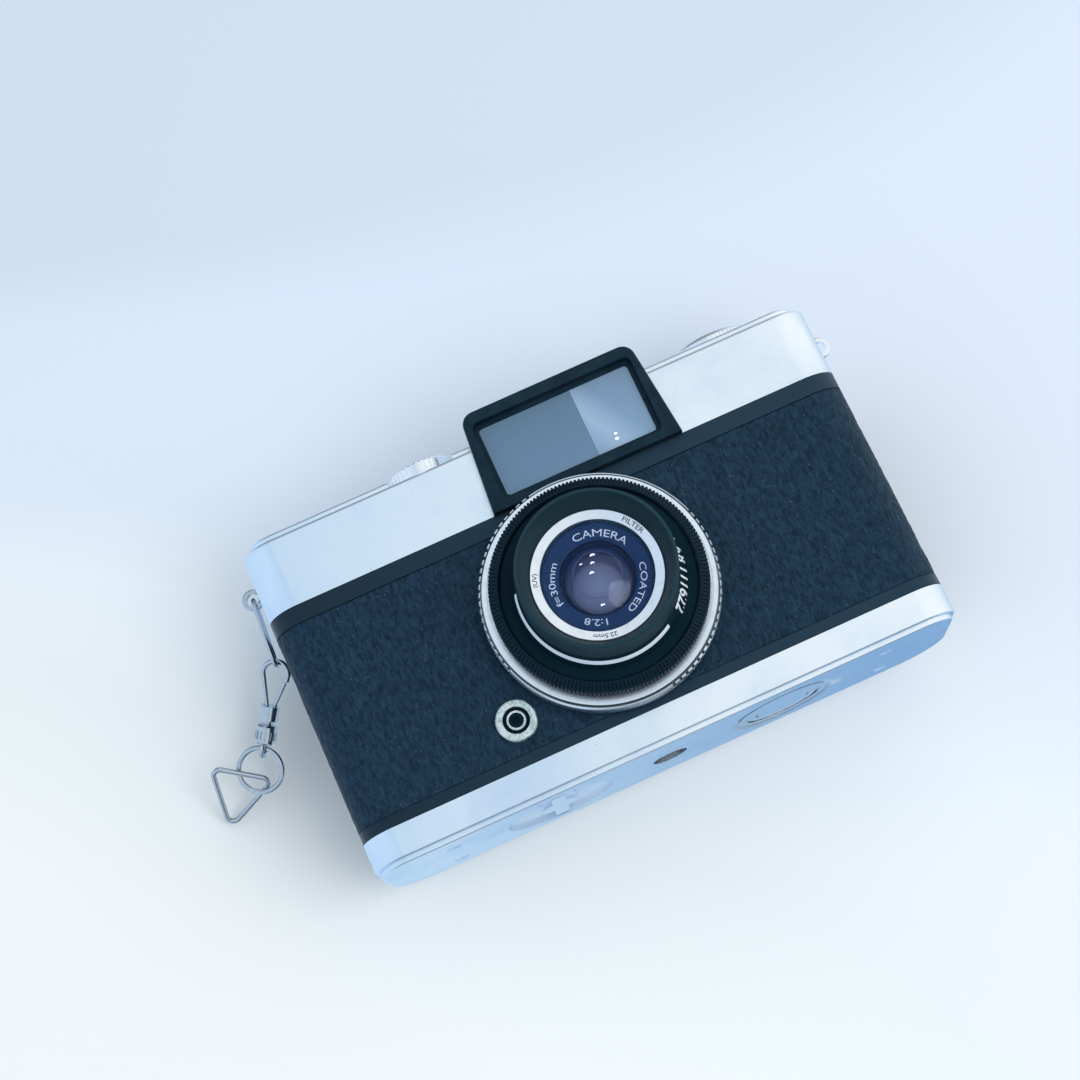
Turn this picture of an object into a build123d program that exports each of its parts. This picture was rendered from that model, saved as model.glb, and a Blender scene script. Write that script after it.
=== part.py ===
from build123d import *
import math
import os

# Half frame camera: +Z up, the lens faces -Y, the tripod bush is on the Z axis with its mouth at z = 0.
# All dimensions are in millimetres.

# Body envelope
BODY_W = 107.5
BODY_D = 27.0
FRONT = BODY_D / 2
CORNER_FRONT = 6.0
CORNER_BACK = 9.0
SEAM_Y = 4.5
SKIN = 0.4

# Heights
PLATE_STEP_Z = 0.9
PLATE_TOP = 6.2
STRIP_LOW_TOP = 8.2
STRIP_HIGH_BOTTOM = 45.0
DECK = 48.0
COVER_BOTTOM = 48.1
COVER_SHOULDER = 60.9
COVER_TOP = 62.2
HUMP_TOP = 65.7
CASTING_BOTTOM = 2.8
CHAMBER_FLOOR = 4.0
CHAMBER_ROOF = 47.2

# Film path
CASSETTE_X = 37.4
CASSETTE_R = 12.55
HOUSING_X = 24.0
SPOOL_X = -41.0
SPOOL_CHAMBER_R = 11.2
FILM_Y = 7.0
FRAME_W = 18.0
FRAME_H = 24.0

# Lens
LENS_Z = 27.7
FLANGE_R = 17.2
SLEEVE_R = 16.42
FOCUS_R = 20.5
FOCUS_TEETH_PITCH = 4.1
FOCUS_TEETH = 24
SPEED_R = 18.5
RING_BORE = 16.5
BARREL_R = 13.4
FILTER_R = 11.24
GLASS_R = 6.35
APERTURE_BLADES = 3
PIVOT_R = 12.3

# Film advance gears
GEAR_MODULE = 0.5
WHEEL_TEETH = 16
SPOOL_TEETH = 16
IDLER_TEETH = 13
SPROCKET_TEETH = 24
WHEEL_R = 9.0
WHEEL_ANGLE = 52.0
SPROCKET_ANGLE = 3.3
GEAR_Z = 48.4
GEAR_T = 0.8
UPPER_GEAR_Z = 49.3

# Controls
BUTTON_X = -36.0
BUTTON_Y = 0.5
DIAL_X = -19.2
DIAL_Y = -6.4
DIAL_R = 6.0
DIAL_TOP = 63.3
REWIND_R = 8.0
REWIND_TOP = 64.8
SYNC_X = -21.7
SYNC_Z = 13.95
LUG_X = 55.4
LUG_Z = 56.0
KEY_LEFT_X = -20.6
KEY_RIGHT_X = 21.3
KEY_DISH_R = 9.8
KEY_R = 8.2

# Viewfinder
FINDER_LEFT = -7.2
FINDER_SPLIT = 10.1
FINDER_RIGHT = 21.1
FINDER_LOW = 50.4
FINDER_HIGH = 63.6
SHOE_X = 7.0
SHOE_Y = 1.0

# Tripod thread
TRIPOD_R = 3.175
TRIPOD_DEPTH = 5.0

# Chain: points of its line, from the strap lug outwards
CHAIN_RING_END = (-56.5, 4.6, 44.5)
CHAIN_NECK = (-60.9, 7.4, 38.3)
ROUND_RING_R = 4.0
ROUND_RING_WIRE = 0.5


def box(x0, x1, y0, y1, z0, z1):
    size = Box(x1 - x0, y1 - y0, z1 - z0)
    return Pos((x0 + x1) / 2, (y0 + y1) / 2, (z0 + z1) / 2) * size


def rod(radius, z0, z1, x=0.0, y=0.0):
    return Pos(x, y, (z0 + z1) / 2) * Cylinder(radius, z1 - z0)


def rod_y(radius, y0, y1, x, z):
    return Pos(x, (y0 + y1) / 2, z) * Rot(90, 0, 0) * Cylinder(radius, y1 - y0)


def tube(outer, inner, z0, z1, x=0.0, y=0.0):
    return rod(outer, z0, z1, x, y) - rod(inner, z0 - 1, z1 + 1, x, y)


def rod_between(start, end, radius):
    direction = Vector(*end) - Vector(*start)
    plane = Plane(origin=start, z_dir=direction)
    return extrude(plane * Circle(radius), amount=direction.length)


def turned(points, x=0.0, y=0.0):
    """Solid of revolution about a vertical axis from (radius, height) points."""
    face = make_face(Plane.XZ * Polyline(*points, close=True))
    return Pos(x, y, 0) * revolve(face, Axis.Z)


def lens_turned(points):
    """Solid of revolution about the lens axis from (radius, distance ahead of the body) points."""
    return Pos(0, -FRONT, LENS_Z) * Rot(90, 0, 0) * turned(points)


def lens_ring(outer, inner, ahead0, ahead1):
    return lens_turned([(inner, ahead0), (outer, ahead0), (outer, ahead1), (inner, ahead1)])


def lens_disc(radius, ahead0, ahead1):
    return rod_y(radius, -FRONT - ahead1, -FRONT - ahead0, 0.0, LENS_Z)


def lens_place(shape, ahead, angle=0.0):
    """Puts a shape built flat on XY at a distance ahead of the body, turned about the lens axis."""
    return Pos(0, -FRONT - ahead, LENS_Z) * Rot(90, 0, 0) * Rot(0, 0, angle) * shape


def outline(inset):
    """Plan of the body, moved in by an inset, with small front corners and large back corners."""
    plan = Rectangle(BODY_W - 2 * inset, BODY_D - 2 * inset)
    front = plan.vertices().filter_by(lambda v: v.Y < 0)
    plan = fillet(front, CORNER_FRONT - inset)
    back = plan.vertices().filter_by(lambda v: v.Y > FRONT - inset - 0.01)
    return fillet(back, CORNER_BACK - inset)


def prism(inset, z0, z1):
    return extrude(Pos(0, 0, z0) * outline(inset), amount=z1 - z0)


def front_half():
    return box(-60, 60, -20, SEAM_Y, -5, 80)


def annular_prism(outer, inner, z0, z1):
    return prism(outer, z0, z1) - prism(inner, z0 - 1, z1 + 1)


def wheel_position():
    reach = GEAR_MODULE * (WHEEL_TEETH + SPOOL_TEETH) / 2
    angle = math.radians(WHEEL_ANGLE)
    return SPOOL_X + reach * math.cos(angle), reach * math.sin(angle)


def idler_position():
    reach = GEAR_MODULE * (SPOOL_TEETH + IDLER_TEETH) / 2
    angle = math.radians(SPROCKET_ANGLE)
    return SPOOL_X + reach * math.cos(angle), reach * math.sin(angle)


def sprocket_position():
    reach = GEAR_MODULE * (SPOOL_TEETH + 2 * IDLER_TEETH + SPROCKET_TEETH) / 2
    angle = math.radians(SPROCKET_ANGLE)
    return SPOOL_X + reach * math.cos(angle), reach * math.sin(angle)


def mesh_phase(phase, teeth, next_teeth, heading):
    """Tooth phase of the next gear, in degrees, so its gap takes the tooth of this one."""
    return heading + 180 - teeth / next_teeth * (phase - heading) + 180 / next_teeth


def gear(teeth, phase, x, y, bore, bottom=GEAR_Z, top=GEAR_Z + GEAR_T):
    pitch_r = GEAR_MODULE * teeth / 2
    tip_r = pitch_r + 0.85 * GEAR_MODULE
    root_r = pitch_r - 1.15 * GEAR_MODULE
    pitch = 360 / teeth
    points = []
    for i in range(teeth):
        centre = phase + i * pitch
        for radius, offset in ((root_r, -0.29), (tip_r, -0.09), (tip_r, 0.09), (root_r, 0.29)):
            angle = math.radians(centre + offset * pitch)
            points.append((radius * math.cos(angle), radius * math.sin(angle)))
    face = make_face(Polyline(*points, close=True))
    solid = extrude(Pos(x, y, bottom) * face, amount=top - bottom)
    return solid - rod(bore, bottom - 1, top + 1, x, y)


def whole_casting():
    upper = prism(SKIN, PLATE_TOP, DECK) & front_half()
    lower = prism(1.15, CASTING_BOTTOM, PLATE_TOP) & front_half()
    strips = prism(0, PLATE_TOP + 0.1, STRIP_LOW_TOP) + prism(0, STRIP_HIGH_BOTTOM, DECK)
    centre = box(-17, 24, 0, FILM_Y - 0.8, CASTING_BOTTOM, DECK)
    block = upper + lower + (strips & front_half()) + centre
    block -= cassette_room()
    block -= spool_room()
    sprocket_x, sprocket_y = sprocket_position()
    block -= rod(7.2, CHAMBER_FLOOR, CHAMBER_ROOF, sprocket_x, sprocket_y)
    block -= box(SPOOL_X, -17.01, -2, 10, CHAMBER_FLOOR, CHAMBER_ROOF)
    block -= box(-9.4, 9.4, -8.6, 10, LENS_Z - 12.4, LENS_Z + 12.4)
    block -= lens_disc(9.2, -6, 2)
    block -= rod(4.2, 0, CHAMBER_FLOOR + 1, CASSETTE_X)
    block -= rod(3.16, CHAMBER_ROOF - 1, DECK + 1, CASSETTE_X)
    idler_x, idler_y = idler_position()
    block += rod(1.0, CHAMBER_ROOF, GEAR_Z + GEAR_T + 0.3, idler_x, idler_y)
    wheel_x, wheel_y = wheel_position()
    block += box(wheel_x - 3, wheel_x + 3, 0, wheel_y + 2.4, CHAMBER_ROOF, DECK)
    block += rod(1.5, CHAMBER_ROOF, 55.0, wheel_x, wheel_y)
    block -= rod(2.06, 0, DECK + 1, SPOOL_X)
    block -= rod(1.56, 0, DECK + 1, sprocket_x, sprocket_y)
    block -= rod(7.4, 0, 6.6)
    block -= rod(9.4, 0, 2.9, KEY_LEFT_X) + rod(9.4, 0, 2.9, KEY_RIGHT_X)
    return block


def make_body_casting():
    """Die-cast body with its film gate, up to the cassette chamber."""
    return (whole_casting() + film_gate()) & box(-60, HOUSING_X, -20, 20, -5, 80)


def make_cassette_housing():
    """End of the casting round the cassette chamber."""
    return whole_casting() & box(HOUSING_X, 60, -20, 20, -5, 80)


def cassette_room():
    room = rod(CASSETTE_R, CHAMBER_FLOOR, CHAMBER_ROOF, CASSETTE_X)
    mouth = box(CASSETTE_X - CASSETTE_R, CASSETTE_X + CASSETTE_R, 0, 15, CHAMBER_FLOOR, CHAMBER_ROOF)
    return room + mouth


def spool_room():
    room = rod(SPOOL_CHAMBER_R, CHAMBER_FLOOR, CHAMBER_ROOF, SPOOL_X)
    left = SPOOL_X - SPOOL_CHAMBER_R
    mouth = box(left, SPOOL_X + SPOOL_CHAMBER_R, 0, 15, CHAMBER_FLOOR, CHAMBER_ROOF)
    return room + mouth


def make_front_leatherette():
    band = annular_prism(0, SKIN, STRIP_LOW_TOP, STRIP_HIGH_BOTTOM) & front_half()
    band -= lens_disc(FLANGE_R + 0.02, -3, 3)
    return band - rod_y(3.62, -20, -10, SYNC_X, SYNC_Z)


def film_gate():
    plate = box(-16.5, 16.5, FILM_Y - 0.8, FILM_Y - 0.2, 7.0, 46.8)
    rails = box(-16.5, 16.5, FILM_Y - 0.2, FILM_Y, 8.4, 10.0)
    rails += box(-16.5, 16.5, FILM_Y - 0.2, FILM_Y, 45.2, 46.8)
    rails += box(-16.5, 16.5, FILM_Y - 0.2, FILM_Y, 12.6, 14.0)
    rails += box(-16.5, 16.5, FILM_Y - 0.2, FILM_Y, 41.4, 42.8)
    half_w = FRAME_W / 2
    half_h = FRAME_H / 2
    return plate + rails - box(-half_w, half_w, 0, 10, LENS_Z - half_h, LENS_Z + half_h)


def hump(grow):
    """Raised finder housing: a trapezoid seen from the front, running from front to back."""
    low = (FINDER_LEFT - 2.2 - grow, FINDER_RIGHT + 2.2 + grow)
    high = (FINDER_LEFT - 1.2 - grow, FINDER_RIGHT + 1.2 + grow)
    face = make_face(
        Polyline(
            (low[0], COVER_TOP - 2.6),
            (low[1], COVER_TOP - 2.6),
            (high[1], HUMP_TOP + grow),
            (high[0], HUMP_TOP + grow),
            close=True,
        )
    )
    solid = extrude(Plane.XZ * face, amount=FRONT + grow)
    return solid + extrude(Plane.XZ * face, amount=-(FRONT - 2.0 + grow))


def make_top_cover():
    lower = prism(0, COVER_BOTTOM, COVER_SHOULDER)
    lower = fillet(lower.edges().group_by(Axis.Z)[-1], 0.8)
    plateau = prism(1.6, COVER_SHOULDER - 1, COVER_TOP)
    plateau = fillet(plateau.edges().group_by(Axis.Z)[-1], 0.6)
    shell = lower + plateau + hump(0)
    shell -= prism(0.9, COVER_BOTTOM - 1, COVER_SHOULDER - 0.9)
    shell -= prism(2.4, COVER_BOTTOM, COVER_TOP - 0.8)
    inner_hump = hump(-0.8) & box(-60, 60, -12.6, 20, 40, HUMP_TOP - 0.8)
    shell -= inner_hump
    seat = rod(DIAL_R + 0.9, COVER_SHOULDER - 0.9, COVER_SHOULDER, DIAL_X, DIAL_Y)
    seat += box(DIAL_X - 6.9, DIAL_X + 6.9, -12.4, DIAL_Y, COVER_SHOULDER - 0.9, COVER_SHOULDER)
    notch = rod(DIAL_R + 0.15, COVER_SHOULDER, 80, DIAL_X, DIAL_Y)
    notch += box(DIAL_X - 6.15, DIAL_X + 6.15, -20, DIAL_Y, COVER_SHOULDER, 80)
    wall = rod(DIAL_R + 0.9, COVER_SHOULDER - 0.9, COVER_TOP - 0.2, DIAL_X, DIAL_Y) & prism(1.7, 50, 70)
    shell = shell + seat + wall - notch
    shell -= rod(1.26, 50, 70, DIAL_X, DIAL_Y)
    shell -= rod(5.0, 55, 70, BUTTON_X, BUTTON_Y)
    shell -= rod(4.3, 55, 70, CASSETTE_X)
    shell -= box(FINDER_LEFT - 0.7, FINDER_RIGHT + 0.7, -20, -12, FINDER_LOW - 0.7, FINDER_HIGH + 0.7)
    shell -= box(11.5, 19.5, 11, 16, 53.4, 61.0)
    wheel_x, wheel_y = wheel_position()
    shell -= rod(WHEEL_R + 0.4, 50.3, 54.9, wheel_x, wheel_y)
    for x in (SHOE_X - 6.0, SHOE_X + 6.0):
        for y in (SHOE_Y - 4.5, SHOE_Y + 4.5):
            shell -= rod(0.95, 60, 70, x, y)
    for side in (-1, 1):
        shell -= lug_stem(side, 0.0)
    return shell


def lug_stem(side, grow):
    stem = Rot(0, 90, 0) * Cylinder(1.1 + grow, 3.0)
    return Pos(side * (BODY_W / 2 - 0.3), 0, LUG_Z) * stem


def make_strap_lug(side):
    """Eyelet on a short stem through the side of the top cover, with its hole along Y."""
    eye = rod_y(2.0, -0.55, 0.55, side * LUG_X, LUG_Z)
    eye = fillet(eye.edges().filter_by(GeomType.CIRCLE), 0.35)
    collar = Pos(side * (BODY_W / 2 + 0.2), 0, LUG_Z) * Rot(0, 90, 0) * Cylinder(1.5, 0.4)
    washer = Pos(side * (BODY_W / 2 - 1.25), 0, LUG_Z) * Rot(0, 90, 0) * Cylinder(1.7, 0.5)
    lug = eye + lug_stem(side, 0.0) + collar + washer
    return lug - rod_y(1.15, -2, 2, side * LUG_X, LUG_Z)


def make_finder_bezel():
    """Black surround of the finder window, wider at its foot."""
    low = COVER_BOTTOM
    high = 66.6
    corners = [(-10.8, low), (24.7, low), (22.9, high), (-9.2, high)]
    face = make_face(Polyline(*corners, close=True))
    top = face.vertices().filter_by(lambda v: v.Y > 60)
    face = fillet(top, 2.4)
    block = extrude(Plane.XZ.offset(FRONT) * face, amount=1.8)
    front = block.faces().sort_by(Axis.Y)[0]
    block = fillet(front.edges().filter_by(lambda e: e.center().Z > low + 0.5), 0.5)
    width = FINDER_RIGHT - FINDER_LEFT
    height = FINDER_HIGH - FINDER_LOW
    middle_x = (FINDER_RIGHT + FINDER_LEFT) / 2
    middle_z = (FINDER_HIGH + FINDER_LOW) / 2
    mouth = Pos(middle_x, middle_z) * RectangleRounded(width, height, 0.7)
    step = Pos(middle_x, middle_z) * RectangleRounded(width + 1.6, height + 1.6, 1.2)
    rear = Pos(middle_x, middle_z) * RectangleRounded(width + 1.2, height + 1.2, 1.0)
    block += extrude(Plane.XZ.offset(FRONT - 1.0) * rear, amount=1.2)
    block -= extrude(Plane.XZ.offset(FRONT - 2) * mouth, amount=6)
    block -= lens_disc(FOCUS_R + 0.2, 1.0, 4.0)
    return block - extrude(Plane.XZ.offset(FRONT + 0.3) * step, amount=3)


def make_frameline_window():
    gap = 0.05
    pane = box(FINDER_LEFT + gap, FINDER_SPLIT, -13.3, -12.5, FINDER_LOW + gap, FINDER_HIGH - gap)
    return fillet(pane.edges().filter_by(Axis.Y).group_by(Axis.X)[0], 0.7)


def make_finder_front_lens():
    gap = 0.05
    left = FINDER_SPLIT + 0.03
    right = FINDER_RIGHT - gap
    block = box(left, right, -13.3, -12.5, FINDER_LOW + gap, FINDER_HIGH - gap)
    block = fillet(block.edges().filter_by(Axis.Y).group_by(Axis.X)[-1], 0.7)
    hollow = Pos((left + right) / 2, -12.5 + 38.0, (FINDER_LOW + FINDER_HIGH) / 2) * Sphere(38.6)
    return block - hollow


def make_finder_tunnel():
    outer = box(9.7, 21.4, -12.4, 10.6, 49.8, 64.2)
    inner = box(10.3, 20.9, -13, 12, 50.4, 63.6)
    floor = box(-7.5, 9.7, -12.4, -11.8, 49.8, 64.2)
    return outer - inner + floor


def make_eye_lens():
    block = box(10.35, 20.85, 8.9, 10.4, 50.45, 63.55)
    return block & (Pos(15.6, -14.6, 57.0) * Sphere(25.0))


def make_eyepiece_bezel():
    block = box(9.4, 21.6, FRONT, FRONT + 0.9, 51.4, 63.0)
    block = fillet(block.edges().filter_by(Axis.Y), 1.2)
    block += box(11.5, 19.5, 11.5, FRONT, 53.4, 61.0)
    return block - box(12.2, 18.8, 10, 16, 54.1, 60.3)


def make_accessory_shoe():
    half_in = 9.35
    half_out = 10.0
    y0 = SHOE_Y - 9.0
    y1 = SHOE_Y + 9.0
    base = box(SHOE_X - half_out, SHOE_X + half_out, y0, y1, HUMP_TOP, HUMP_TOP + 0.5)
    for side in (-1, 1):
        inner = SHOE_X + side * half_in
        outer = SHOE_X + side * half_out
        lip = SHOE_X + side * (half_in - 1.7)
        base += box(min(inner, outer), max(inner, outer), y0, y1, HUMP_TOP, HUMP_TOP + 3.3)
        base += box(min(lip, outer), max(lip, outer), y0, y1, HUMP_TOP + 2.6, HUMP_TOP + 3.3)
    base += box(SHOE_X - half_out, SHOE_X + half_out, y0, y0 + 0.6, HUMP_TOP, HUMP_TOP + 1.6)
    for x in (SHOE_X - 6.0, SHOE_X + 6.0):
        for y in (SHOE_Y - 4.5, SHOE_Y + 4.5):
            base -= rod(0.95, HUMP_TOP - 1, HUMP_TOP + 1, x, y)
            base -= rod(1.6, HUMP_TOP + 0.2, HUMP_TOP + 1, x, y)
    return base


def make_shoe_screws():
    screws = []
    for x in (SHOE_X - 6.0, SHOE_X + 6.0):
        for y in (SHOE_Y - 4.5, SHOE_Y + 4.5):
            screw = rod(0.95, HUMP_TOP - 1.4, HUMP_TOP + 0.25, x, y)
            screw += rod(1.6, HUMP_TOP + 0.2, HUMP_TOP + 0.5, x, y)
            screws.append(screw - box(x - 2, x + 2, y - 0.2, y + 0.2, HUMP_TOP + 0.35, HUMP_TOP + 1))
    return Compound(screws)


def make_shutter_housing():
    """Fixed lens body: flange, sleeve the rings turn on, and inner barrel the front cell slides in."""
    points = [
        (7.0, -SKIN),
        (FLANGE_R, -SKIN),
        (FLANGE_R, 1.0),
        (SLEEVE_R, 1.0),
        (SLEEVE_R, 8.6),
        (12.5, 8.2),
        (12.5, 12.0),
        (11.96, 12.0),
        (11.96, 5.0),
        (15.2, 5.0),
        (15.2, 2.0),
        (7.0, 2.0),
    ]
    body = lens_turned(points)
    for i in range(APERTURE_BLADES):
        body += lens_place(Pos(PIVOT_R, 0, 0.7) * Cylinder(0.45, 1.4), 1.9, aperture_angle(i))
    for angle in (0, 180):
        body += lens_place(Pos(PIVOT_R, 0, 1.3) * Cylinder(0.45, 2.6), 1.9, angle)
    return body


def aperture_angle(index):
    return 90 + index * 360 / APERTURE_BLADES


def make_aperture_blade(index):
    """Crescent blade on its own level, hung on a pin of the housing."""
    centre = 8.9
    width = 5.2
    sweep = 92
    band = Circle(centre + width / 2) - Circle(centre - width / 2)
    reach = 30 * math.tan(math.radians(sweep / 2))
    wedge = make_face(Polyline((0, 0), (30, -reach), (30, reach), close=True))
    band = Rot(0, 0, sweep / 2) * (band & wedge)
    head = Pos(PIVOT_R, 0) * Circle(1.5)
    shape = band + head - Pos(PIVOT_R, 0) * Circle(0.5)
    level = 2.12 + index * 0.23
    solid = extrude(shape, amount=0.12)
    return lens_place(solid, level, aperture_angle(index))


def make_shutter_blade(index):
    """Half disc on an arm, closed over the light path at rest."""
    disc = Circle(4.8) & (Pos(5 - 0.5, 0) * Rectangle(10, 20))
    arm = Pos(8.0, 0) * Rectangle(8.6, 2.4)
    head = Pos(PIVOT_R, 0) * Circle(1.4)
    shape = disc + arm + head - Pos(PIVOT_R, 0) * Circle(0.5)
    solid = extrude(shape, amount=0.15)
    return lens_place(solid, 3.82 + index * 0.28, index * 180)


def make_scale_ring():
    return lens_ring(18.2, SLEEVE_R, 4.75, 5.3)


def make_focus_ring():
    points = [
        (RING_BORE, 1.2),
        (FOCUS_R - 0.5, 1.2),
        (FOCUS_R, 1.6),
        (FOCUS_R, 4.2),
        (20.3, 4.5),
        (20.15, 4.5),
        (20.15, 3.9),
        (19.85, 3.9),
        (19.85, 5.0),
        (19.0, 5.0),
        (19.0, 4.65),
        (RING_BORE, 4.65),
    ]
    ring = lens_turned(points)
    notches = []
    for centre in (150, 330):
        for i in range(FOCUS_TEETH):
            angle = centre + (i - (FOCUS_TEETH - 1) / 2) * FOCUS_TEETH_PITCH
            notch = Pos(FOCUS_R, 0, 1.5) * Box(0.9, 0.6, 6.0)
            notches.append(lens_place(notch, 3.0, angle))
    return ring - Compound(notches)


def make_speed_ring():
    points = [
        (RING_BORE, 5.4),
        (SPEED_R, 5.4),
        (SPEED_R, 8.3),
        (17.1, 9.4),
        (16.8, 9.4),
        (RING_BORE, 9.0),
    ]
    return lens_turned(points)


def make_aperture_ring():
    points = [
        (12.56, 8.75),
        (14.5, 8.75),
        (14.5, 9.0),
        (13.5, 11.7),
        (13.4, 12.1),
        (12.56, 12.1),
    ]
    return lens_turned(points)


def make_front_barrel():
    points = [
        (9.3, 5.4),
        (11.9, 5.4),
        (11.9, 12.25),
        (BARREL_R, 12.25),
        (BARREL_R, 19.3),
        (BARREL_R - 0.25, 19.6),
        (BARREL_R - 0.6, 19.6),
        (FILTER_R + 0.02, 14.6),
        (FILTER_R + 0.02, 13.0),
        (9.3, 13.0),
    ]
    return lens_turned(points)


def make_filter_ring():
    points = [(9.5, 13.0), (FILTER_R, 13.0), (FILTER_R, 14.4), (11.0, 14.6), (9.5, 14.3)]
    return lens_turned(points)


def make_filter_glass():
    return lens_disc(9.48, 13.2, 13.9)


def make_nameplate():
    points = [
        (GLASS_R + 0.05, 9.6),
        (9.28, 9.6),
        (9.28, 12.9),
        (9.0, 12.6),
        (GLASS_R + 0.4, 12.4),
        (GLASS_R + 0.05, 12.1),
    ]
    return lens_turned(points)


def lens_element(radius, back, front, back_sag, front_sag):
    """Element of the lens: a disc with spherical faces that bulge or dip by the two sags."""
    points = [(0, back - back_sag)]
    steps = 8
    for i in range(1, steps + 1):
        r = radius * i / steps
        points.append((r, back - back_sag * (1 - (r / radius) ** 2)))
    for i in range(steps, -1, -1):
        r = radius * i / steps
        points.append((r, front + front_sag * (1 - (r / radius) ** 2)))
    return lens_turned(points)


def make_front_elements():
    front = lens_element(GLASS_R, 10.0, 11.2, -0.3, 1.5)
    return Compound([front, lens_element(GLASS_R, 7.0, 8.6, -0.5, -0.6)])


def make_rear_cell():
    return lens_ring(7.0, 5.0, -7.0, 1.9)


def make_rear_elements():
    return Compound([lens_element(4.95, -6.0, -3.6, 0.7, 0.5), lens_element(4.95, -2.2, -0.4, -0.4, 0.4)])


def make_sync_flange():
    ring = rod_y(3.6, -FRONT - 0.9, -FRONT + SKIN, SYNC_X, SYNC_Z)
    ring = fillet(ring.edges().group_by(Axis.Y)[0], 0.45)
    return ring - rod_y(2.35, -20, -10, SYNC_X, SYNC_Z)


def make_sync_insulator():
    cup = rod_y(2.34, -FRONT, -FRONT + SKIN, SYNC_X, SYNC_Z)
    core = rod_y(1.25, -FRONT - 0.5, -FRONT, SYNC_X, SYNC_Z)
    return cup + core - rod_y(0.62, -20, -FRONT - 0.1, SYNC_X, SYNC_Z)


def make_sync_sleeve():
    ring = rod_y(1.65, -FRONT - 0.8, -FRONT, SYNC_X, SYNC_Z)
    return ring - rod_y(1.3, -20, -10, SYNC_X, SYNC_Z)


def make_bottom_plate():
    slab = prism(0.85, 0, PLATE_STEP_Z + 1)
    slab = fillet(slab.edges().group_by(Axis.Z)[0], 0.35)
    rim = prism(0, PLATE_STEP_Z, PLATE_TOP)
    rim = fillet(rim.edges().group_by(Axis.Z)[0], 0.5)
    plate = slab + rim - prism(0.9, 1.0, PLATE_TOP + 1)
    for x in (KEY_LEFT_X, KEY_RIGHT_X):
        plate += rod(KEY_DISH_R + 0.6, 0.3, 1.9, x)
        plate -= rod(KEY_DISH_R, -1, 1.3, x)
        plate -= rod(2.06, 0, 3, x)
    plate -= box(KEY_RIGHT_X + 5.0, KEY_RIGHT_X + KEY_DISH_R + 1.4, -2.2, 2.2, -1, 0.7)
    plate -= rod(6.2, -1, 3)
    for x, y in ((-40, -5.8), (-40, 7.6), (40.5, -6.0), (40.5, 7.4)):
        plate -= rod(1.3, -1, 0.3, x, y)
    return plate


def make_tripod_bush():
    bush = rod(6.2, 0, 1.0) + rod(6.9, 1.0, 1.8) + rod(5.0, 1.8, TRIPOD_DEPTH + 0.9)
    return bush - rod(TRIPOD_R, -1, TRIPOD_DEPTH)


def make_back_cover():
    """Black back shell with its two strips and a skirt inside the bottom plate's rim."""
    wall = annular_prism(SKIN, 0.9, PLATE_TOP + 0.1, DECK - 0.1)
    wall += annular_prism(0, 0.9, PLATE_TOP + 0.1, STRIP_LOW_TOP)
    wall += annular_prism(0, 0.9, STRIP_HIGH_BOTTOM, DECK - 0.1)
    wall += annular_prism(0.9, 1.4, 1.0, PLATE_TOP + 1.0)
    return wall & box(-60, 60, SEAM_Y + 0.05, 20, 0, 60)


def make_back_leatherette():
    band = annular_prism(0, SKIN, STRIP_LOW_TOP, STRIP_HIGH_BOTTOM)
    return band & box(-60, 60, SEAM_Y + 0.05, 20, 0, 60)


def make_pressure_plate():
    plate = box(-15, 15, FILM_Y + 0.05, FILM_Y + 1.05, 10.4, 45.0)
    return fillet(plate.edges().filter_by(Axis.Y), 1.5)


def make_pressure_spring():
    """Leaf with two bowed arms, riveted to the back."""
    path = ThreePointArc((-11, FILM_Y + 1.75), (0, 12.4), (11, FILM_Y + 1.75))
    inner = ThreePointArc((-11, FILM_Y + 1.95), (0, 12.6), (11, FILM_Y + 1.95))
    left = Line((-11, FILM_Y + 1.75), (-11, FILM_Y + 1.95))
    right = Line((11, FILM_Y + 1.75), (11, FILM_Y + 1.95))
    face = make_face(Curve() + [path, right, inner, left])
    return extrude(Pos(0, 0, LENS_Z - 4) * face, amount=8)


def key_cam():
    """Locking tongue above the pan of the bottom plate."""
    return rod(2.6, 2.0, 2.6) + box(-1.6, 1.6, 0, 7.6, 2.0, 2.6)


def make_key_left():
    """Plain key: a hub with one straight wing across the dish."""
    hub = rod(3.4, 0.1, 1.2)
    wing = box(-1.3, 1.3, -8.6, 8.6, 0.1, 1.2)
    wing = fillet(wing.edges().filter_by(Axis.Z), 0.8)
    return Pos(KEY_LEFT_X, 0, 0) * (hub + wing + rod(2.0, 0.5, 2.6) + key_cam())


def make_key_right():
    """Disc key with a bed for its folding bail."""
    disc = rod(KEY_R, 0.1, 1.2)
    disc -= (rod(7.1, -1, 1.05) - rod(4.7, -2, 2)) & box(-10, 10, -1.1, 10, -2, 2)
    disc -= Pos(0, 0, 0.6) * Rot(0, 90, 0) * Cylinder(0.42, 20)
    disc -= box(-7.1, -4.6, -1.1, 1.1, -1, 1.05) + box(4.6, 7.1, -1.1, 1.1, -1, 1.05)
    return Pos(KEY_RIGHT_X, 0, 0) * (disc + rod(2.0, 1.05, 2.6) + key_cam())


def make_key_bail():
    """D-shaped finger bail that folds down out of the key."""
    ring = (rod(6.6, 0.25, 0.95) - rod(5.2, -1, 2)) & box(-10, 10, 0, 10, -2, 2)
    pin = Pos(-5.9, 0, 0.6) * Rot(0, 90, 0) * Cylinder(0.36, 4.0)
    pin += Pos(5.9, 0, 0.6) * Rot(0, 90, 0) * Cylinder(0.36, 4.0)
    eyes = Pos(-5.9, 0, 0.6) * Rot(0, 90, 0) * Cylinder(0.45, 1.4)
    eyes += Pos(5.9, 0, 0.6) * Rot(0, 90, 0) * Cylinder(0.45, 1.4)
    return Pos(KEY_RIGHT_X, 0, 0) * (ring + pin + eyes)


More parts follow.
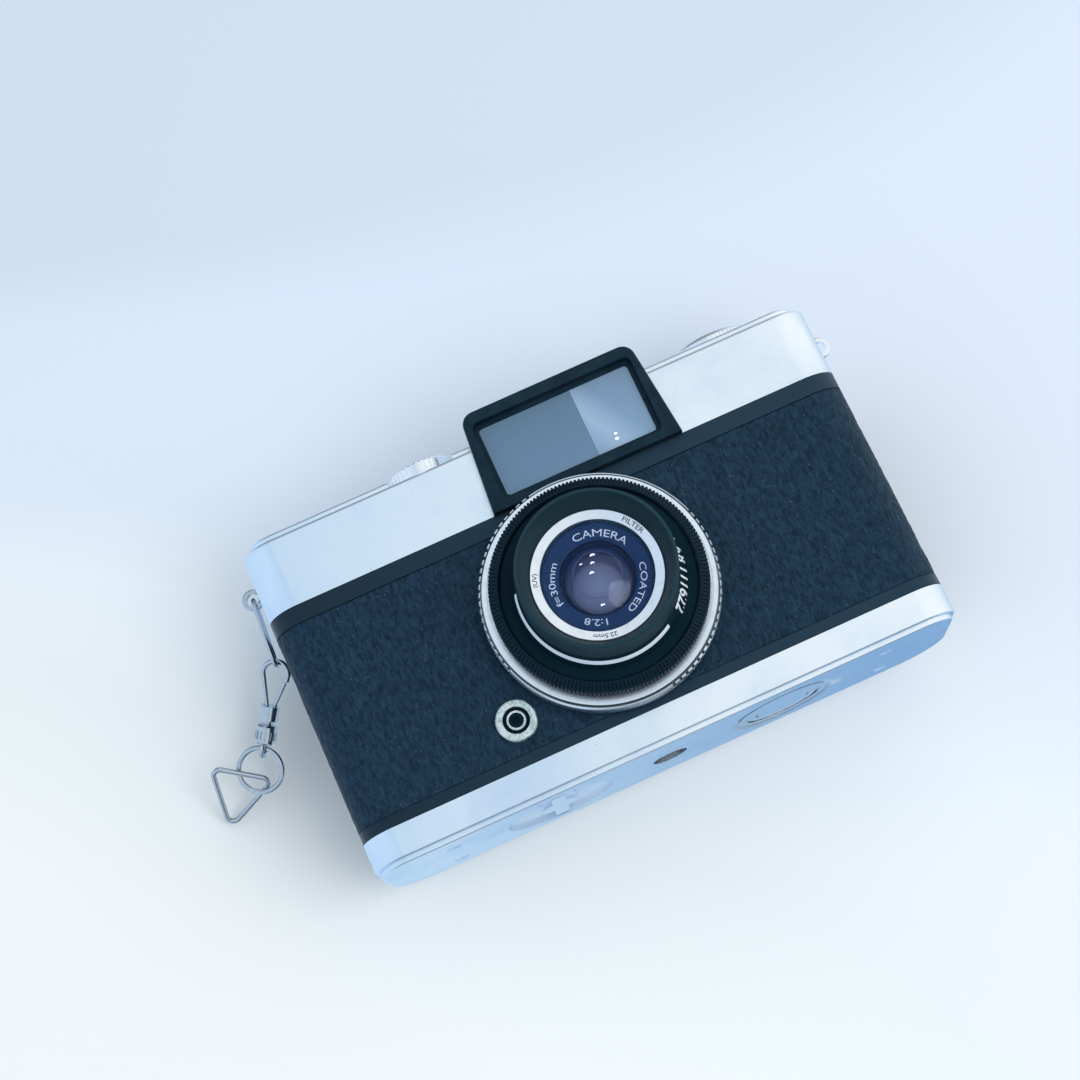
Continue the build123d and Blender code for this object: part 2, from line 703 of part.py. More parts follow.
def make_button_guide():
    guide = tube(5.0, 4.3, 56.0, COVER_TOP, BUTTON_X, BUTTON_Y)
    guide += tube(5.7, 4.3, COVER_TOP, COVER_TOP + 0.9, BUTTON_X, BUTTON_Y)
    return guide + tube(5.0, 1.56, 55.4, 56.4, BUTTON_X, BUTTON_Y)


def make_shutter_button():
    cap = rod(4.22, 60.4, COVER_TOP + 2.0, BUTTON_X, BUTTON_Y)
    cap = fillet(cap.edges().group_by(Axis.Z)[-1], 0.7)
    stem = rod(2.5, 58.6, 60.4, BUTTON_X, BUTTON_Y) + rod(1.5, 56.5, 58.6, BUTTON_X, BUTTON_Y)
    return cap + stem - rod(1.5, COVER_TOP - 2.3, 80, BUTTON_X, BUTTON_Y)


def make_button_spring():
    path = Helix(pitch=1.15, height=3.45, radius=3.3)
    wire = sweep(Plane(origin=path @ 0, z_dir=path % 0) * Circle(0.2), path=path)
    return Pos(BUTTON_X, BUTTON_Y, 56.65) * wire


def make_counter_dial():
    dial = rod(DIAL_R, COVER_SHOULDER + 0.1, DIAL_TOP)
    dial = fillet(dial.edges().group_by(Axis.Z)[-1], 0.35)
    notches = []
    for i in range(36):
        notches.append(Rot(0, 0, i * 10) * (Pos(DIAL_R, 0, 62.6) * Box(0.4, 0.45, 3.4)))
    dial -= Compound(notches)
    dial += rod(1.2, 57.6, COVER_SHOULDER + 0.1) + rod(2.0, 58.6, 59.8)
    return Pos(DIAL_X, DIAL_Y, 0) * dial


def make_advance_wheel():
    x, y = wheel_position()
    wheel = rod(WHEEL_R, 50.6, 54.4) + rod(3.0, UPPER_GEAR_Z + GEAR_T, 50.6)
    notches = []
    for i in range(48):
        notches.append(Rot(0, 0, i * 7.5) * (Pos(WHEEL_R, 0, 52.5) * Box(0.7, 0.55, 6.0)))
    wheel = Pos(x, y, 0) * (wheel - Compound(notches))
    top = UPPER_GEAR_Z + GEAR_T
    wheel += gear(WHEEL_TEETH, WHEEL_ANGLE + 180, x, y, 1.56, UPPER_GEAR_Z, top)
    return wheel - rod(1.56, 40, 60, x, y)


def make_take_up_spool():
    phase = mesh_phase(WHEEL_ANGLE + 180, WHEEL_TEETH, SPOOL_TEETH, WHEEL_ANGLE + 180)
    spool = rod(5.0, 6.0, 45.6, SPOOL_X) + rod(9.6, 6.0, 7.0, SPOOL_X) + rod(9.6, 44.8, 45.8, SPOOL_X)
    spool -= box(SPOOL_X - 0.6, SPOOL_X + 0.6, -6, 0, 16, 38)
    spool += rod(2.0, CASTING_BOTTOM + 0.3, GEAR_Z + 0.1, SPOOL_X)
    return spool + gear(SPOOL_TEETH, phase, SPOOL_X, 0, 0.4, GEAR_Z, UPPER_GEAR_Z + GEAR_T)


def make_idler():
    spool_phase = mesh_phase(WHEEL_ANGLE + 180, WHEEL_TEETH, SPOOL_TEETH, WHEEL_ANGLE + 180)
    phase = mesh_phase(spool_phase, SPOOL_TEETH, IDLER_TEETH, SPROCKET_ANGLE)
    x, y = idler_position()
    return gear(IDLER_TEETH, phase, x, y, 1.06)


def make_sprocket():
    spool_phase = mesh_phase(WHEEL_ANGLE + 180, WHEEL_TEETH, SPOOL_TEETH, WHEEL_ANGLE + 180)
    idler_phase = mesh_phase(spool_phase, SPOOL_TEETH, IDLER_TEETH, SPROCKET_ANGLE)
    phase = mesh_phase(idler_phase, IDLER_TEETH, SPROCKET_TEETH, SPROCKET_ANGLE)
    x, y = sprocket_position()
    drum = rod(4.4, 8.0, 46.0) + rod(5.6, 11.0, 14.4) + rod(5.6, 41.0, 44.4)
    for z in (12.7, 42.7):
        for i in range(8):
            drum += Rot(0, 0, i * 45) * (Pos(5.7, 0, z) * Box(1.2, 1.2, 1.6))
    drum += rod(1.5, CASTING_BOTTOM + 0.3, GEAR_Z + 0.1)
    return Pos(x, y, 0) * drum + gear(SPROCKET_TEETH, phase, x, y, 0.4)


def make_rewind_sleeve():
    return tube(3.1, 2.06, 46.2, 60.4, CASSETTE_X) + tube(4.2, 2.06, DECK + 0.05, DECK + 0.9, CASSETTE_X)


def make_rewind_knob():
    """Knob on its shaft, with a bed for the crank and a fork that drives the cassette."""
    bed = REWIND_TOP - 0.9
    roof = REWIND_TOP + 3
    knob = rod(REWIND_R, COVER_TOP + 0.6, REWIND_TOP)
    knob = fillet(knob.edges().group_by(Axis.Z)[-1], 1.1)
    notches = []
    for i in range(60):
        notches.append(Rot(0, 0, i * 6) * (Pos(REWIND_R, 0, COVER_TOP + 1.0) * Box(0.4, 0.4, 1.6)))
    knob -= Compound(notches)
    knob -= rod(6.3, bed, roof)
    knob -= box(-6.9, 0, -1.75, 1.75, bed, roof)
    knob -= box(0, 9, -2.1, 2.1, bed, roof)
    knob += box(-6.3, -4.7, -2.6, -1.75, bed, REWIND_TOP)
    knob += box(-6.3, -4.7, 1.75, 2.6, bed, REWIND_TOP)
    knob += rod(2.0, 41.6, COVER_TOP + 1.0) - box(-3, 3, -0.6, 0.6, 40, 44.5)
    return Pos(CASSETTE_X, 0, 0) * knob


def make_rewind_crank():
    """Folding crank lying in the knob, hinged at its left end."""
    arm = box(-5.5, 7.2, -1.6, 1.6, REWIND_TOP - 0.8, REWIND_TOP - 0.1)
    arm = fillet(arm.edges().filter_by(Axis.Z).group_by(Axis.X)[-1], 1.2)
    arm += Pos(-5.5, 0, REWIND_TOP - 0.45) * Rot(90, 0, 0) * Cylinder(0.35, 3.4)
    return Pos(CASSETTE_X, 0, 0) * arm


def make_split_ring():
    """Long oval ring through the lug's eye, its broad side facing sideways."""
    start = Vector(-LUG_X, 0, LUG_Z)
    end = Vector(*CHAIN_RING_END)
    along = (end - start).normalized()
    side = Vector(1, 0, 0).cross(along).normalized()
    length = (end - start).length + 0.1
    plane = Plane(origin=(start + end) * 0.5, x_dir=along, z_dir=along.cross(side))
    path = plane * SlotOverall(length, 4.6).wire()
    return sweep(Plane(origin=path @ 0, z_dir=path % 0) * Circle(0.42), path=path)


def hook_plane():
    start = Vector(*CHAIN_RING_END)
    neck = Vector(*CHAIN_NECK)
    along = (start - neck).normalized()
    across = Vector(0, 1, 0).cross(along).normalized()
    return Plane(origin=neck, x_dir=across, z_dir=across.cross(along))


def bar(plane, start, end, radius):
    """Round bar between two points of a plane."""
    ends = [plane.from_local_coords(Vector(p[0], p[1], 0)) for p in (start, end)]
    return rod_between(tuple(ends[0]), tuple(ends[1]), radius)


def make_snap_hook():
    """Fixed side of the snap hook: leg, rounded top and beak, rising from the collar."""
    plane = hook_plane()
    reach = (Vector(*CHAIN_RING_END) - Vector(*CHAIN_NECK)).length + 0.9
    r = 2.3
    turn = plane * Pos(0, reach - r) * Torus(r, 0.5)
    hook = turn & (plane * Pos(0, reach - r + 5) * Box(20, 10, 4))
    hook += bar(plane, (-0.55, 0.4), (-r, reach - r), 0.5)
    hook += bar(plane, (r, reach - r), (r - 0.15, reach - r - 1.0), 0.5)
    along = plane.y_dir
    base = Vector(*CHAIN_NECK)
    hook += rod_between(tuple(base - along * 1.7), tuple(base + along * 0.9), 1.75)
    return hook + rod_between(tuple(base - along * 3.7), tuple(base - along * 1.6), 0.8)


def make_snap_gate():
    plane = hook_plane()
    reach = (Vector(*CHAIN_RING_END) - Vector(*CHAIN_NECK)).length + 0.9
    return bar(plane, (0.75, 1.0), (1.95, reach - 3.5), 0.42)


def make_swivel():
    """Knurled swivel collar that turns on the hook's neck, with an eye at its end."""
    neck = Vector(*CHAIN_NECK)
    plane = hook_plane()
    along = plane.y_dir
    top = neck - along * 2.5
    bottom = neck - along * 6.0
    body = rod_between(tuple(bottom), tuple(top), 1.9)
    body = chamfer(body.edges().filter_by(GeomType.CIRCLE), 0.3)
    middle = Plane(origin=neck - along * 4.4, x_dir=plane.x_dir, z_dir=along)
    grooves = []
    for i in range(14):
        grooves.append(middle * Rot(0, 0, i * 360 / 14) * (Pos(1.9, 0, 0) * Box(0.5, 0.35, 1.5)))
    body -= Compound(grooves)
    body -= rod_between(tuple(neck - along * 4.0), tuple(neck), 0.86)
    loop_centre = neck - along * 7.1
    face = Plane(origin=loop_centre, x_dir=along, z_dir=plane.x_dir)
    loop = sweep(
        Plane(origin=face.from_local_coords(Vector(1.35, 0, 0)), z_dir=face.y_dir) * Circle(0.42),
        path=face * Circle(1.35).wire(),
    )
    return body + loop


def swivel_eye():
    plane = hook_plane()
    return Vector(*CHAIN_NECK) - plane.y_dir * 7.1


def ring_centre():
    """Centre of the round ring, hanging from the swivel eye."""
    plane = hook_plane()
    return swivel_eye() - plane.y_dir * (ROUND_RING_R - 0.2)


def make_round_ring():
    plane = hook_plane()
    face = Plane(origin=ring_centre(), x_dir=plane.x_dir, z_dir=plane.z_dir)
    start = face.from_local_coords(Vector(ROUND_RING_R, 0, 0))
    wire = Plane(origin=start, z_dir=face.y_dir) * Circle(ROUND_RING_WIRE)
    return sweep(wire, path=face * Circle(ROUND_RING_R).wire())


def make_triangle_ring():
    """Triangular end ring: one corner lies inside the round ring, the sides pass on either side of it."""
    plane = hook_plane()
    ring = Plane(origin=ring_centre(), x_dir=plane.x_dir, z_dir=plane.z_dir)
    inner = ring.from_local_coords(Vector(2.4, -1.4, -0.7))
    upper = ring.from_local_coords(Vector(-8.4, -0.8, 2.5))
    lower = ring.from_local_coords(Vector(-4.5, -12.2, -2.9))
    face = make_face(Polyline(inner, upper, lower, close=True))
    face = fillet(face.vertices(), 1.2)
    path = face.face().outer_wire()
    return sweep(Plane(origin=path @ 0, z_dir=path % 0) * Circle(0.5), path=path)


PARTS = {
    "body_casting": make_body_casting,
    "front_leatherette": make_front_leatherette,
    "cassette_housing": make_cassette_housing,
    "top_cover": make_top_cover,
    "strap_lug_left": lambda: make_strap_lug(-1),
    "strap_lug_right": lambda: make_strap_lug(1),
    "viewfinder_bezel": make_finder_bezel,
    "frameline_window": make_frameline_window,
    "viewfinder_front_lens": make_finder_front_lens,
    "viewfinder_tunnel": make_finder_tunnel,
    "viewfinder_eye_lens": make_eye_lens,
    "eyepiece_bezel": make_eyepiece_bezel,
    "accessory_shoe": make_accessory_shoe,
    "shoe_screws": make_shoe_screws,
    "shutter_housing": make_shutter_housing,
    "aperture_blade_1": lambda: make_aperture_blade(0),
    "aperture_blade_2": lambda: make_aperture_blade(1),
    "aperture_blade_3": lambda: make_aperture_blade(2),
    "shutter_blade_1": lambda: make_shutter_blade(0),
    "shutter_blade_2": lambda: make_shutter_blade(1),
    "scale_ring": make_scale_ring,
    "focus_ring": make_focus_ring,
    "shutter_speed_ring": make_speed_ring,
    "aperture_ring": make_aperture_ring,
    "front_barrel": make_front_barrel,
    "filter_ring": make_filter_ring,
    "filter_glass": make_filter_glass,
    "lens_nameplate": make_nameplate,
    "front_elements": make_front_elements,
    "rear_cell": make_rear_cell,
    "rear_elements": make_rear_elements,
    "sync_flange": make_sync_flange,
    "sync_insulator": make_sync_insulator,
    "sync_sleeve": make_sync_sleeve,
    "bottom_plate": make_bottom_plate,
    "tripod_bush": make_tripod_bush,
    "back_cover": make_back_cover,
    "back_leatherette": make_back_leatherette,
    "pressure_plate": make_pressure_plate,
    "pressure_spring": make_pressure_spring,
    "lock_key_left": make_key_left,
    "lock_key_right": make_key_right,
    "key_bail": make_key_bail,
    "button_guide": make_button_guide,
    "shutter_button": make_shutter_button,
    "button_spring": make_button_spring,
    "counter_dial": make_counter_dial,
    "advance_wheel": make_advance_wheel,
    "take_up_spool": make_take_up_spool,
    "idler_gear": make_idler,
    "sprocket": make_sprocket,
    "rewind_sleeve": make_rewind_sleeve,
    "rewind_knob": make_rewind_knob,
    "rewind_crank": make_rewind_crank,
    "split_ring": make_split_ring,
    "snap_hook": make_snap_hook,
    "snap_gate": make_snap_gate,
    "swivel": make_swivel,
    "round_ring": make_round_ring,
    "triangle_ring": make_triangle_ring,
}

os.makedirs("parts", exist_ok=True)
for node, make in PARTS.items():
    export_step(make(), f"parts/{node}.step")
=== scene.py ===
"""Half frame camera with its snap hook chain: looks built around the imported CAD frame.

Sizes are written in millimetres and multiplied by MM where Blender takes metres.
+Z is up and the lens faces -Y.
"""

import math

import bmesh
import bpy
from mathutils import Matrix, Vector, noise


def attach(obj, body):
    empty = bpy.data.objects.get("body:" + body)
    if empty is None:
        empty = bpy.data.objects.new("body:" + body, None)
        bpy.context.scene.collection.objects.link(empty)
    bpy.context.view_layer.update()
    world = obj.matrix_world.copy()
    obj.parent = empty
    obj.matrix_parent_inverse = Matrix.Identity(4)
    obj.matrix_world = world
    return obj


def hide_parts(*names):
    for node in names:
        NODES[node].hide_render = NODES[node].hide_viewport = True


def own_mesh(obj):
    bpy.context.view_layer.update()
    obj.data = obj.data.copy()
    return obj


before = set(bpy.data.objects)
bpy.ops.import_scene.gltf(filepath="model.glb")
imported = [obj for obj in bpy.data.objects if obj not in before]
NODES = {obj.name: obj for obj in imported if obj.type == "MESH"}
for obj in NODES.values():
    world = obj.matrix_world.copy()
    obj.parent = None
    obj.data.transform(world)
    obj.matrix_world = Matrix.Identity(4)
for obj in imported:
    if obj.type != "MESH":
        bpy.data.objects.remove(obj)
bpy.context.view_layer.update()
MM = 0.001

LENS_HEIGHT = 27.7
SYNC_CENTRE = (-21.7, 13.95)
LENS_Z = LENS_HEIGHT * MM
FRONT = 13.5 * MM
BODY_WIDTHS_PER_METRE = 9.3
# Scale along the body for the painted shade on the black enamel.
LEFT_SHADE_WIDTHS_PER_METRE = 10.0
# Width of the painted shade ring at the focus ring's groove.
GROOVE_SHADE_WIDTH = 0.26 * MM
# Where the painted light and the painted sheen lie on the finder panes.
PANE_FOOT = 50.4 * MM
PANE_HEIGHT = 13.2 * MM
SHEEN_FOOT_X = 12.5 * MM
SHEEN_WIDTH = 5.0 * MM
ELEMENT_RADIUS = 6.4 * MM


# ------------------------------------------------------------------ material helpers
def fill_ramp(elements, stops):
    """Give a colour ramp its stops: (position, grey level or colour)."""
    while len(elements) < len(stops):
        elements.new(0.5)
    for element, (position, value) in zip(elements, stops):
        element.position = position
        if isinstance(value, (int, float)):
            value = (value, value, value)
        element.color = (*value, 1.0)


class Nodes:
    """Thin wrapper that builds a node material."""

    def __init__(self, name):
        self.mat = bpy.data.materials.new(name)
        self.mat.use_nodes = True
        self.tree = self.mat.node_tree
        self.bsdf = self.tree.nodes["Principled BSDF"]
        self.out = self.tree.nodes["Material Output"]
        self.coord = self.tree.nodes.new("ShaderNodeTexCoord")

    def new(self, kind, **props):
        node = self.tree.nodes.new(kind)
        for key, value in props.items():
            setattr(node, key, value)
        return node

    def link(self, a, b):
        self.tree.links.new(a, b)

    def put(self, socket, value):
        """Link a socket, or store a plain value; three numbers become an opaque colour."""
        if isinstance(value, bpy.types.NodeSocket):
            self.link(value, socket)
            return
        if isinstance(value, (tuple, list)) and len(value) == 3 and socket.type == "RGBA":
            value = (*value, 1.0)
        socket.default_value = value

    def set(self, **inputs):
        for key, value in inputs.items():
            self.put(self.bsdf.inputs[key.replace("_", " ")], value)
        return self

    def stretched(self, scale):
        node = self.new("ShaderNodeMapping")
        self.link(self.coord.outputs["Object"], node.inputs["Vector"])
        node.inputs["Scale"].default_value = scale
        return node.outputs["Vector"]

    def noise(self, scale, detail=3.0, rough=0.5, vector=None, distortion=0.0):
        node = self.new("ShaderNodeTexNoise")
        self.link(vector or self.coord.outputs["Object"], node.inputs["Vector"])
        node.inputs["Scale"].default_value = scale
        node.inputs["Detail"].default_value = detail
        node.inputs["Roughness"].default_value = rough
        node.inputs["Distortion"].default_value = distortion
        return node.outputs["Fac"]

    def voronoi(self, scale, feature="F1"):
        node = self.new("ShaderNodeTexVoronoi", feature=feature)
        self.link(self.coord.outputs["Object"], node.inputs["Vector"])
        node.inputs["Scale"].default_value = scale
        return node.outputs["Distance"]

    def ramp(self, fac, stops):
        node = self.new("ShaderNodeValToRGB")
        self.link(fac, node.inputs["Fac"])
        fill_ramp(node.color_ramp.elements, stops)
        return node.outputs["Color"]

    def fleck_mask(self, scale, inner, outer):
        """Small round spots, one per cell: 1 within the inner size, 0 beyond the outer."""
        return self.ramp(self.voronoi(scale), [(0.0, 1.0), (inner, 1.0), (outer, 0.0), (1.0, 0.0)])

    def patch_mask(self, fac, low, high):
        """0 below low, 1 above high."""
        return self.ramp(fac, [(0.0, 0.0), (low, 0.0), (high, 1.0), (1.0, 1.0)])

    def math(self, operation, a, b=0.0, clamp=False):
        node = self.new("ShaderNodeMath", operation=operation, use_clamp=clamp)
        self.put(node.inputs[0], a)
        self.put(node.inputs[1], b)
        return node.outputs[0]

    def mix(self, fac, a, b, blend="MIX"):
        node = self.new("ShaderNodeMix", data_type="RGBA", blend_type=blend)
        self.put(node.inputs[0], fac)
        self.put(node.inputs[6], a)
        self.put(node.inputs[7], b)
        return node.outputs[2]

    def bump(self, height, strength, distance):
        """Surface grain: distance is its height in metres."""
        node = self.new("ShaderNodeBump")
        node.inputs["Strength"].default_value = strength
        node.inputs["Distance"].default_value = distance
        self.link(height, node.inputs["Height"])
        return node.outputs["Normal"]

    def separate(self, vector=None):
        node = self.new("ShaderNodeSeparateXYZ")
        self.link(vector or self.coord.outputs["Object"], node.inputs[0])
        return node.outputs

    def combine(self, x, y, z):
        node = self.new("ShaderNodeCombineXYZ")
        for socket, value in zip(node.inputs, (x, y, z)):
            self.put(socket, value)
        return node.outputs[0]

    def along_body(self, widths_per_metre):
        """0 at the left end of the body, 1 at the right end."""
        scaled = self.math("MULTIPLY", self.separate()[0], widths_per_metre)
        return self.math("ADD", scaled, 0.5, clamp=True)

    def radius(self, x, z):
        """Distance from the axis along Y through (x, z)."""
        xyz = self.separate()
        dx = self.math("SUBTRACT", xyz[0], x)
        dz = self.math("SUBTRACT", xyz[2], z)
        squares = self.math("ADD", self.math("MULTIPLY", dx, dx), self.math("MULTIPLY", dz, dz))
        return self.math("SQRT", squares)


def chrome_satin(name):
    """Fine grained chrome with dirt flecks; painted shade makes it bluer towards the left end and on the
    underside.
    """
    n = Nodes(name)
    grain = n.noise(5200, 2.0, 0.6)
    coarse = n.noise(900, 3.0, 0.6)
    smudge = n.noise(55, 5.0, 0.6, distortion=0.4)
    dirt = n.math("MULTIPLY", n.fleck_mask(420, 0.035, 0.05), n.patch_mask(n.noise(130, 1.0), 0.6, 0.66))
    tones = [(0.3, (0.74, 0.83, 0.93)), (0.55, (0.88, 0.935, 0.985)), (0.8, (0.95, 0.97, 1.0))]
    tone = n.ramp(smudge, tones)
    tone = n.mix(n.math("MULTIPLY", dirt, 0.75), tone, (0.16, 0.15, 0.14))
    along = n.along_body(BODY_WIDTHS_PER_METRE)
    # Painted shade: bluer and darker towards the left end of the body.
    left_end_shade = n.ramp(along, [(0.0, 0.7), (0.45, 0.2), (0.6, 0.0)])
    tone = n.mix(left_end_shade, tone, (0.72, 0.83, 0.93), "MULTIPLY")
    geometry = n.new("ShaderNodeNewGeometry")
    # Painted shade: downward faces bluer and darker, more so towards the right end.
    underside = n.math("LESS_THAN", n.separate(geometry.outputs["Normal"])[2], -0.6)
    underside_shade = n.math("MULTIPLY", underside, n.ramp(along, [(0.45, 0.1), (0.9, 1.0)]))
    tone = n.mix(underside_shade, tone, (0.62, 0.78, 0.93), "MULTIPLY")
    rough = n.ramp(smudge, [(0.2, 0.40), (0.8, 0.27)])
    normal = n.bump(n.math("ADD", grain, n.math("MULTIPLY", coarse, 0.5)), 0.35, 0.00005)
    return n.set(Base_Color=tone, Metallic=1.0, Roughness=rough, Normal=normal).mat


def chrome_polished(name, base, rough, pitting):
    """Bright plated metal, duller and darker where it is worn and pitted."""
    n = Nodes(name)
    wear = n.noise(420, 4.0, 0.6)
    stain = n.noise(1700, 3.0, 0.7)
    dark = tuple(c * 0.72 for c in base)
    tone = n.mix(n.ramp(stain, [(0.5, 0.0), (0.8, pitting)]), base, dark)
    roughness = n.ramp(wear, [(0.3, rough), (0.8, rough + 0.2)])
    normal = n.bump(wear, 0.15, 0.00004)
    return n.set(Base_Color=tone, Metallic=1.0, Roughness=roughness, Normal=normal).mat


def cool_black(n, level):
    """Weak bluish sheen, as black surfaces take from a cool soft light."""
    return n.set(Specular_IOR_Level=level, Specular_Tint=(0.42, 0.74, 1.0))


def black_enamel(name, rough, base, level, dusty=0.35, painted_left_shade=False):
    """Black paint with slight orange peel and dust; optionally painted shade that makes it darker towards
    the left end.
    """
    n = Nodes(name)
    orange = n.noise(2600, 2.0)
    dust = n.math("MULTIPLY", n.fleck_mask(1500, 0.04, 0.07), n.patch_mask(n.noise(300, 1.0), 0.55, 0.7))
    amount = n.math("MULTIPLY", dust, dusty)
    tone = n.mix(amount, base, (0.35, 0.40, 0.45))
    if painted_left_shade:
        # Painted shade: darker towards the left end of the body.
        left_end_shade = n.ramp(n.along_body(LEFT_SHADE_WIDTHS_PER_METRE), [(0.0, 0.75), (0.45, 0.1), (1.0, 0.0)])
        tone = n.mix(left_end_shade, tone, tuple(c * 0.25 for c in base))
    smear = n.ramp(n.noise(140, 4.0), [(0.3, rough), (0.8, rough + 0.2)])
    normal = n.bump(orange, 0.12, 0.00004)
    n.set(Base_Color=tone, Roughness=smear, Normal=normal)
    return cool_black(n, level).mat


def leatherette(name):
    """Black wrinkled covering, paler on its ridges, with dust caught in it."""
    n = Nodes(name)
    ridges = n.noise(1900, 4.0, 0.6, vector=n.stretched((1.0, 1.0, 0.4)), distortion=0.8)
    fine = n.noise(5200, 3.0, 0.6)
    normal = n.bump(n.math("ADD", ridges, n.math("MULTIPLY", fine, 0.4)), 0.6, 0.00012)
    specks = n.math("MULTIPLY", n.fleck_mask(1150, 0.06, 0.13), n.patch_mask(n.noise(260, 2.0), 0.5, 0.64))
    dust = n.math("MULTIPLY", specks, 0.55)
    tone = n.mix(n.ramp(ridges, [(0.35, 0.0), (0.7, 1.0)]), (0.003, 0.011, 0.022), (0.016, 0.040, 0.070))
    tone = n.mix(dust, tone, (0.20, 0.30, 0.38))
    rough = n.ramp(ridges, [(0.2, 0.66), (0.8, 0.48)])
    n.set(Base_Color=tone, Roughness=rough, Normal=normal)
    return cool_black(n, 0.3).mat


def black_plastic(name, rough, level):
    """Black plastic with a fine moulded grain."""
    n = Nodes(name)
    cells = n.voronoi(2600, feature="SMOOTH_F1")
    fine = n.noise(6000, 2.0)
    normal = n.bump(n.math("ADD", cells, n.math("MULTIPLY", fine, 0.4)), 0.5, 0.00009)
    worn = n.ramp(n.noise(260, 4.0), [(0.4, 0.0), (0.8, 1.0)])
    tone = n.mix(worn, (0.003, 0.011, 0.019), (0.009, 0.023, 0.036))
    n.set(Base_Color=tone, Roughness=rough, Normal=normal)
    return cool_black(n, level).mat


def ring_metal(name, base, rough, groove=0.0):
    """Turned aluminium: fine lines about the lens axis, grime, and painted shade at the radius of a groove.
    """
    n = Nodes(name)
    radius = n.radius(0.0, LENS_Z)
    xyz = n.separate()
    turning = n.noise(9000, 2.0, vector=n.combine(radius, xyz[1], 0.0))
    grime = n.noise(600, 4.0, 0.65)
    dark = tuple(c * 0.62 for c in base)
    tone = n.mix(n.ramp(grime, [(0.5, 0.0), (0.8, 0.5)]), base, dark)
    # Painted shade: a dark ring at the groove's radius.
    beside = n.math("ABSOLUTE", n.math("SUBTRACT", radius, groove * MM))
    groove_shade = n.math("DIVIDE", beside, GROOVE_SHADE_WIDTH, clamp=True)
    tone = n.mix(n.ramp(groove_shade, [(0.0, 0.9), (0.6, 0.8), (0.9, 0.0)]), tone, (0.04, 0.06, 0.08))
    normal = n.bump(turning, 0.25, 0.00003)
    return n.set(Base_Color=tone, Metallic=1.0, Roughness=rough, Normal=normal).mat


def clear_glass(name, tint, rough, ior):
    """See-through glass with a few dust flecks."""
    n = Nodes(name)
    dust = n.fleck_mask(1400, 0.03, 0.06)
    smear = n.ramp(n.noise(160, 4.0), [(0.4, rough), (0.8, rough + 0.05)])
    tone = n.mix(n.math("MULTIPLY", dust, 0.2), tint, (0.6, 0.65, 0.7))
    return n.set(Base_Color=tone, Roughness=smear, Transmission_Weight=1.0, IOR=ior).mat


def window_material(name, low, high, sheen=0.0):
    """Finder pane from outside: painted shade for the dark hollow behind the glass, painted light paler at
    its foot, with a painted soft slanting sheen.
    """
    n = Nodes(name)
    xyz = n.separate()
    # Painted light: paler towards the foot of the pane.
    rise = n.math("DIVIDE", n.math("SUBTRACT", xyz[2], PANE_FOOT), PANE_HEIGHT, clamp=True)
    cloud = n.noise(120, 4.0, 0.6, distortion=0.3)
    blend = n.math("ADD", n.math("MULTIPLY", rise, 0.8), n.math("MULTIPLY", cloud, 0.3))
    tone = n.ramp(blend, [(0.0, low), (1.0, high)])
    # Painted reflection: a soft slanting sheen across the pane.
    across = n.math("DIVIDE", n.math("SUBTRACT", xyz[0], SHEEN_FOOT_X), SHEEN_WIDTH)
    slant = n.math("ADD", across, n.math("MULTIPLY", rise, 1.5))
    off_middle = n.math("ABSOLUTE", n.math("SUBTRACT", slant, 0.55))
    band = n.ramp(off_middle, [(0.0, sheen), (0.5, sheen * 0.55), (1.0, 0.0)])
    tone = n.mix(band, tone, (0.42, 0.56, 0.72))
    return n.set(Base_Color=tone, Roughness=0.12, Coat_Weight=1.0, Coat_Roughness=0.03).mat


def lens_coating(name):
    """Coated front element over the barrel's hollow: painted reflections and shade of its inner rings in
    navy and violet, a painted pale lilac reflection low down and a painted curved line of reflection above.
    """
    n = Nodes(name)
    radius = n.math("DIVIDE", n.radius(0.0, LENS_Z), ELEMENT_RADIUS)
    cloud = n.noise(300, 3.0)
    wobble = n.math("ADD", radius, n.math("MULTIPLY", n.math("SUBTRACT", cloud, 0.5), 0.06))
    # Painted reflections and shade of the barrel's inner rings, about the lens axis.
    ring_reflection_tones = [
        (0.0, (0.034, 0.055, 0.105)),
        (0.45, (0.028, 0.044, 0.098)),
        (0.60, (0.016, 0.030, 0.080)),
        (0.78, (0.024, 0.050, 0.120)),
        (0.88, (0.010, 0.022, 0.058)),
        (1.0, (0.026, 0.050, 0.105)),
    ]
    ring_reflections = n.ramp(wobble, ring_reflection_tones)
    # Painted reflection: a pale lilac patch low down.
    low = n.math("DIVIDE", n.radius(-0.6 * MM, LENS_Z - 1.6 * MM), 4.3 * MM)
    pale = n.ramp(low, [(0.0, (0.20, 0.245, 0.34)), (0.6, (0.165, 0.190, 0.275)), (1.0, (0.11, 0.13, 0.20))])
    tone = n.mix(n.ramp(low, [(0.0, 1.0), (0.82, 0.85), (0.97, 0.55), (1.0, 0.0)]), ring_reflections, pale)
    # Painted reflection: a thin curved line above the centre.
    upper = n.math("DIVIDE", n.radius(0.2 * MM, LENS_Z + 0.6 * MM), 4.2 * MM)
    arc_reflection = n.ramp(upper, [(0.9, 0.0), (0.96, 0.5), (1.0, 0.6), (1.04, 0.0)])
    tone = n.mix(arc_reflection, tone, (0.10, 0.12, 0.22))
    n.set(Base_Color=tone, Roughness=0.12, Specular_IOR_Level=0.2)
    return n.set(Coat_Weight=0.5, Coat_Roughness=0.02, Coat_Tint=(0.86, 0.84, 1.0)).mat


def glint(name, color, strength):
    """Small painted reflection that glows, seated in the glass."""
    n = Nodes(name)
    fleck = n.noise(4000, 2.0)
    tone = n.mix(fleck, color, (1.0, 0.9, 0.95))
    return n.set(Base_Color=tone, Roughness=0.2, Emission_Color=color, Emission_Strength=strength).mat


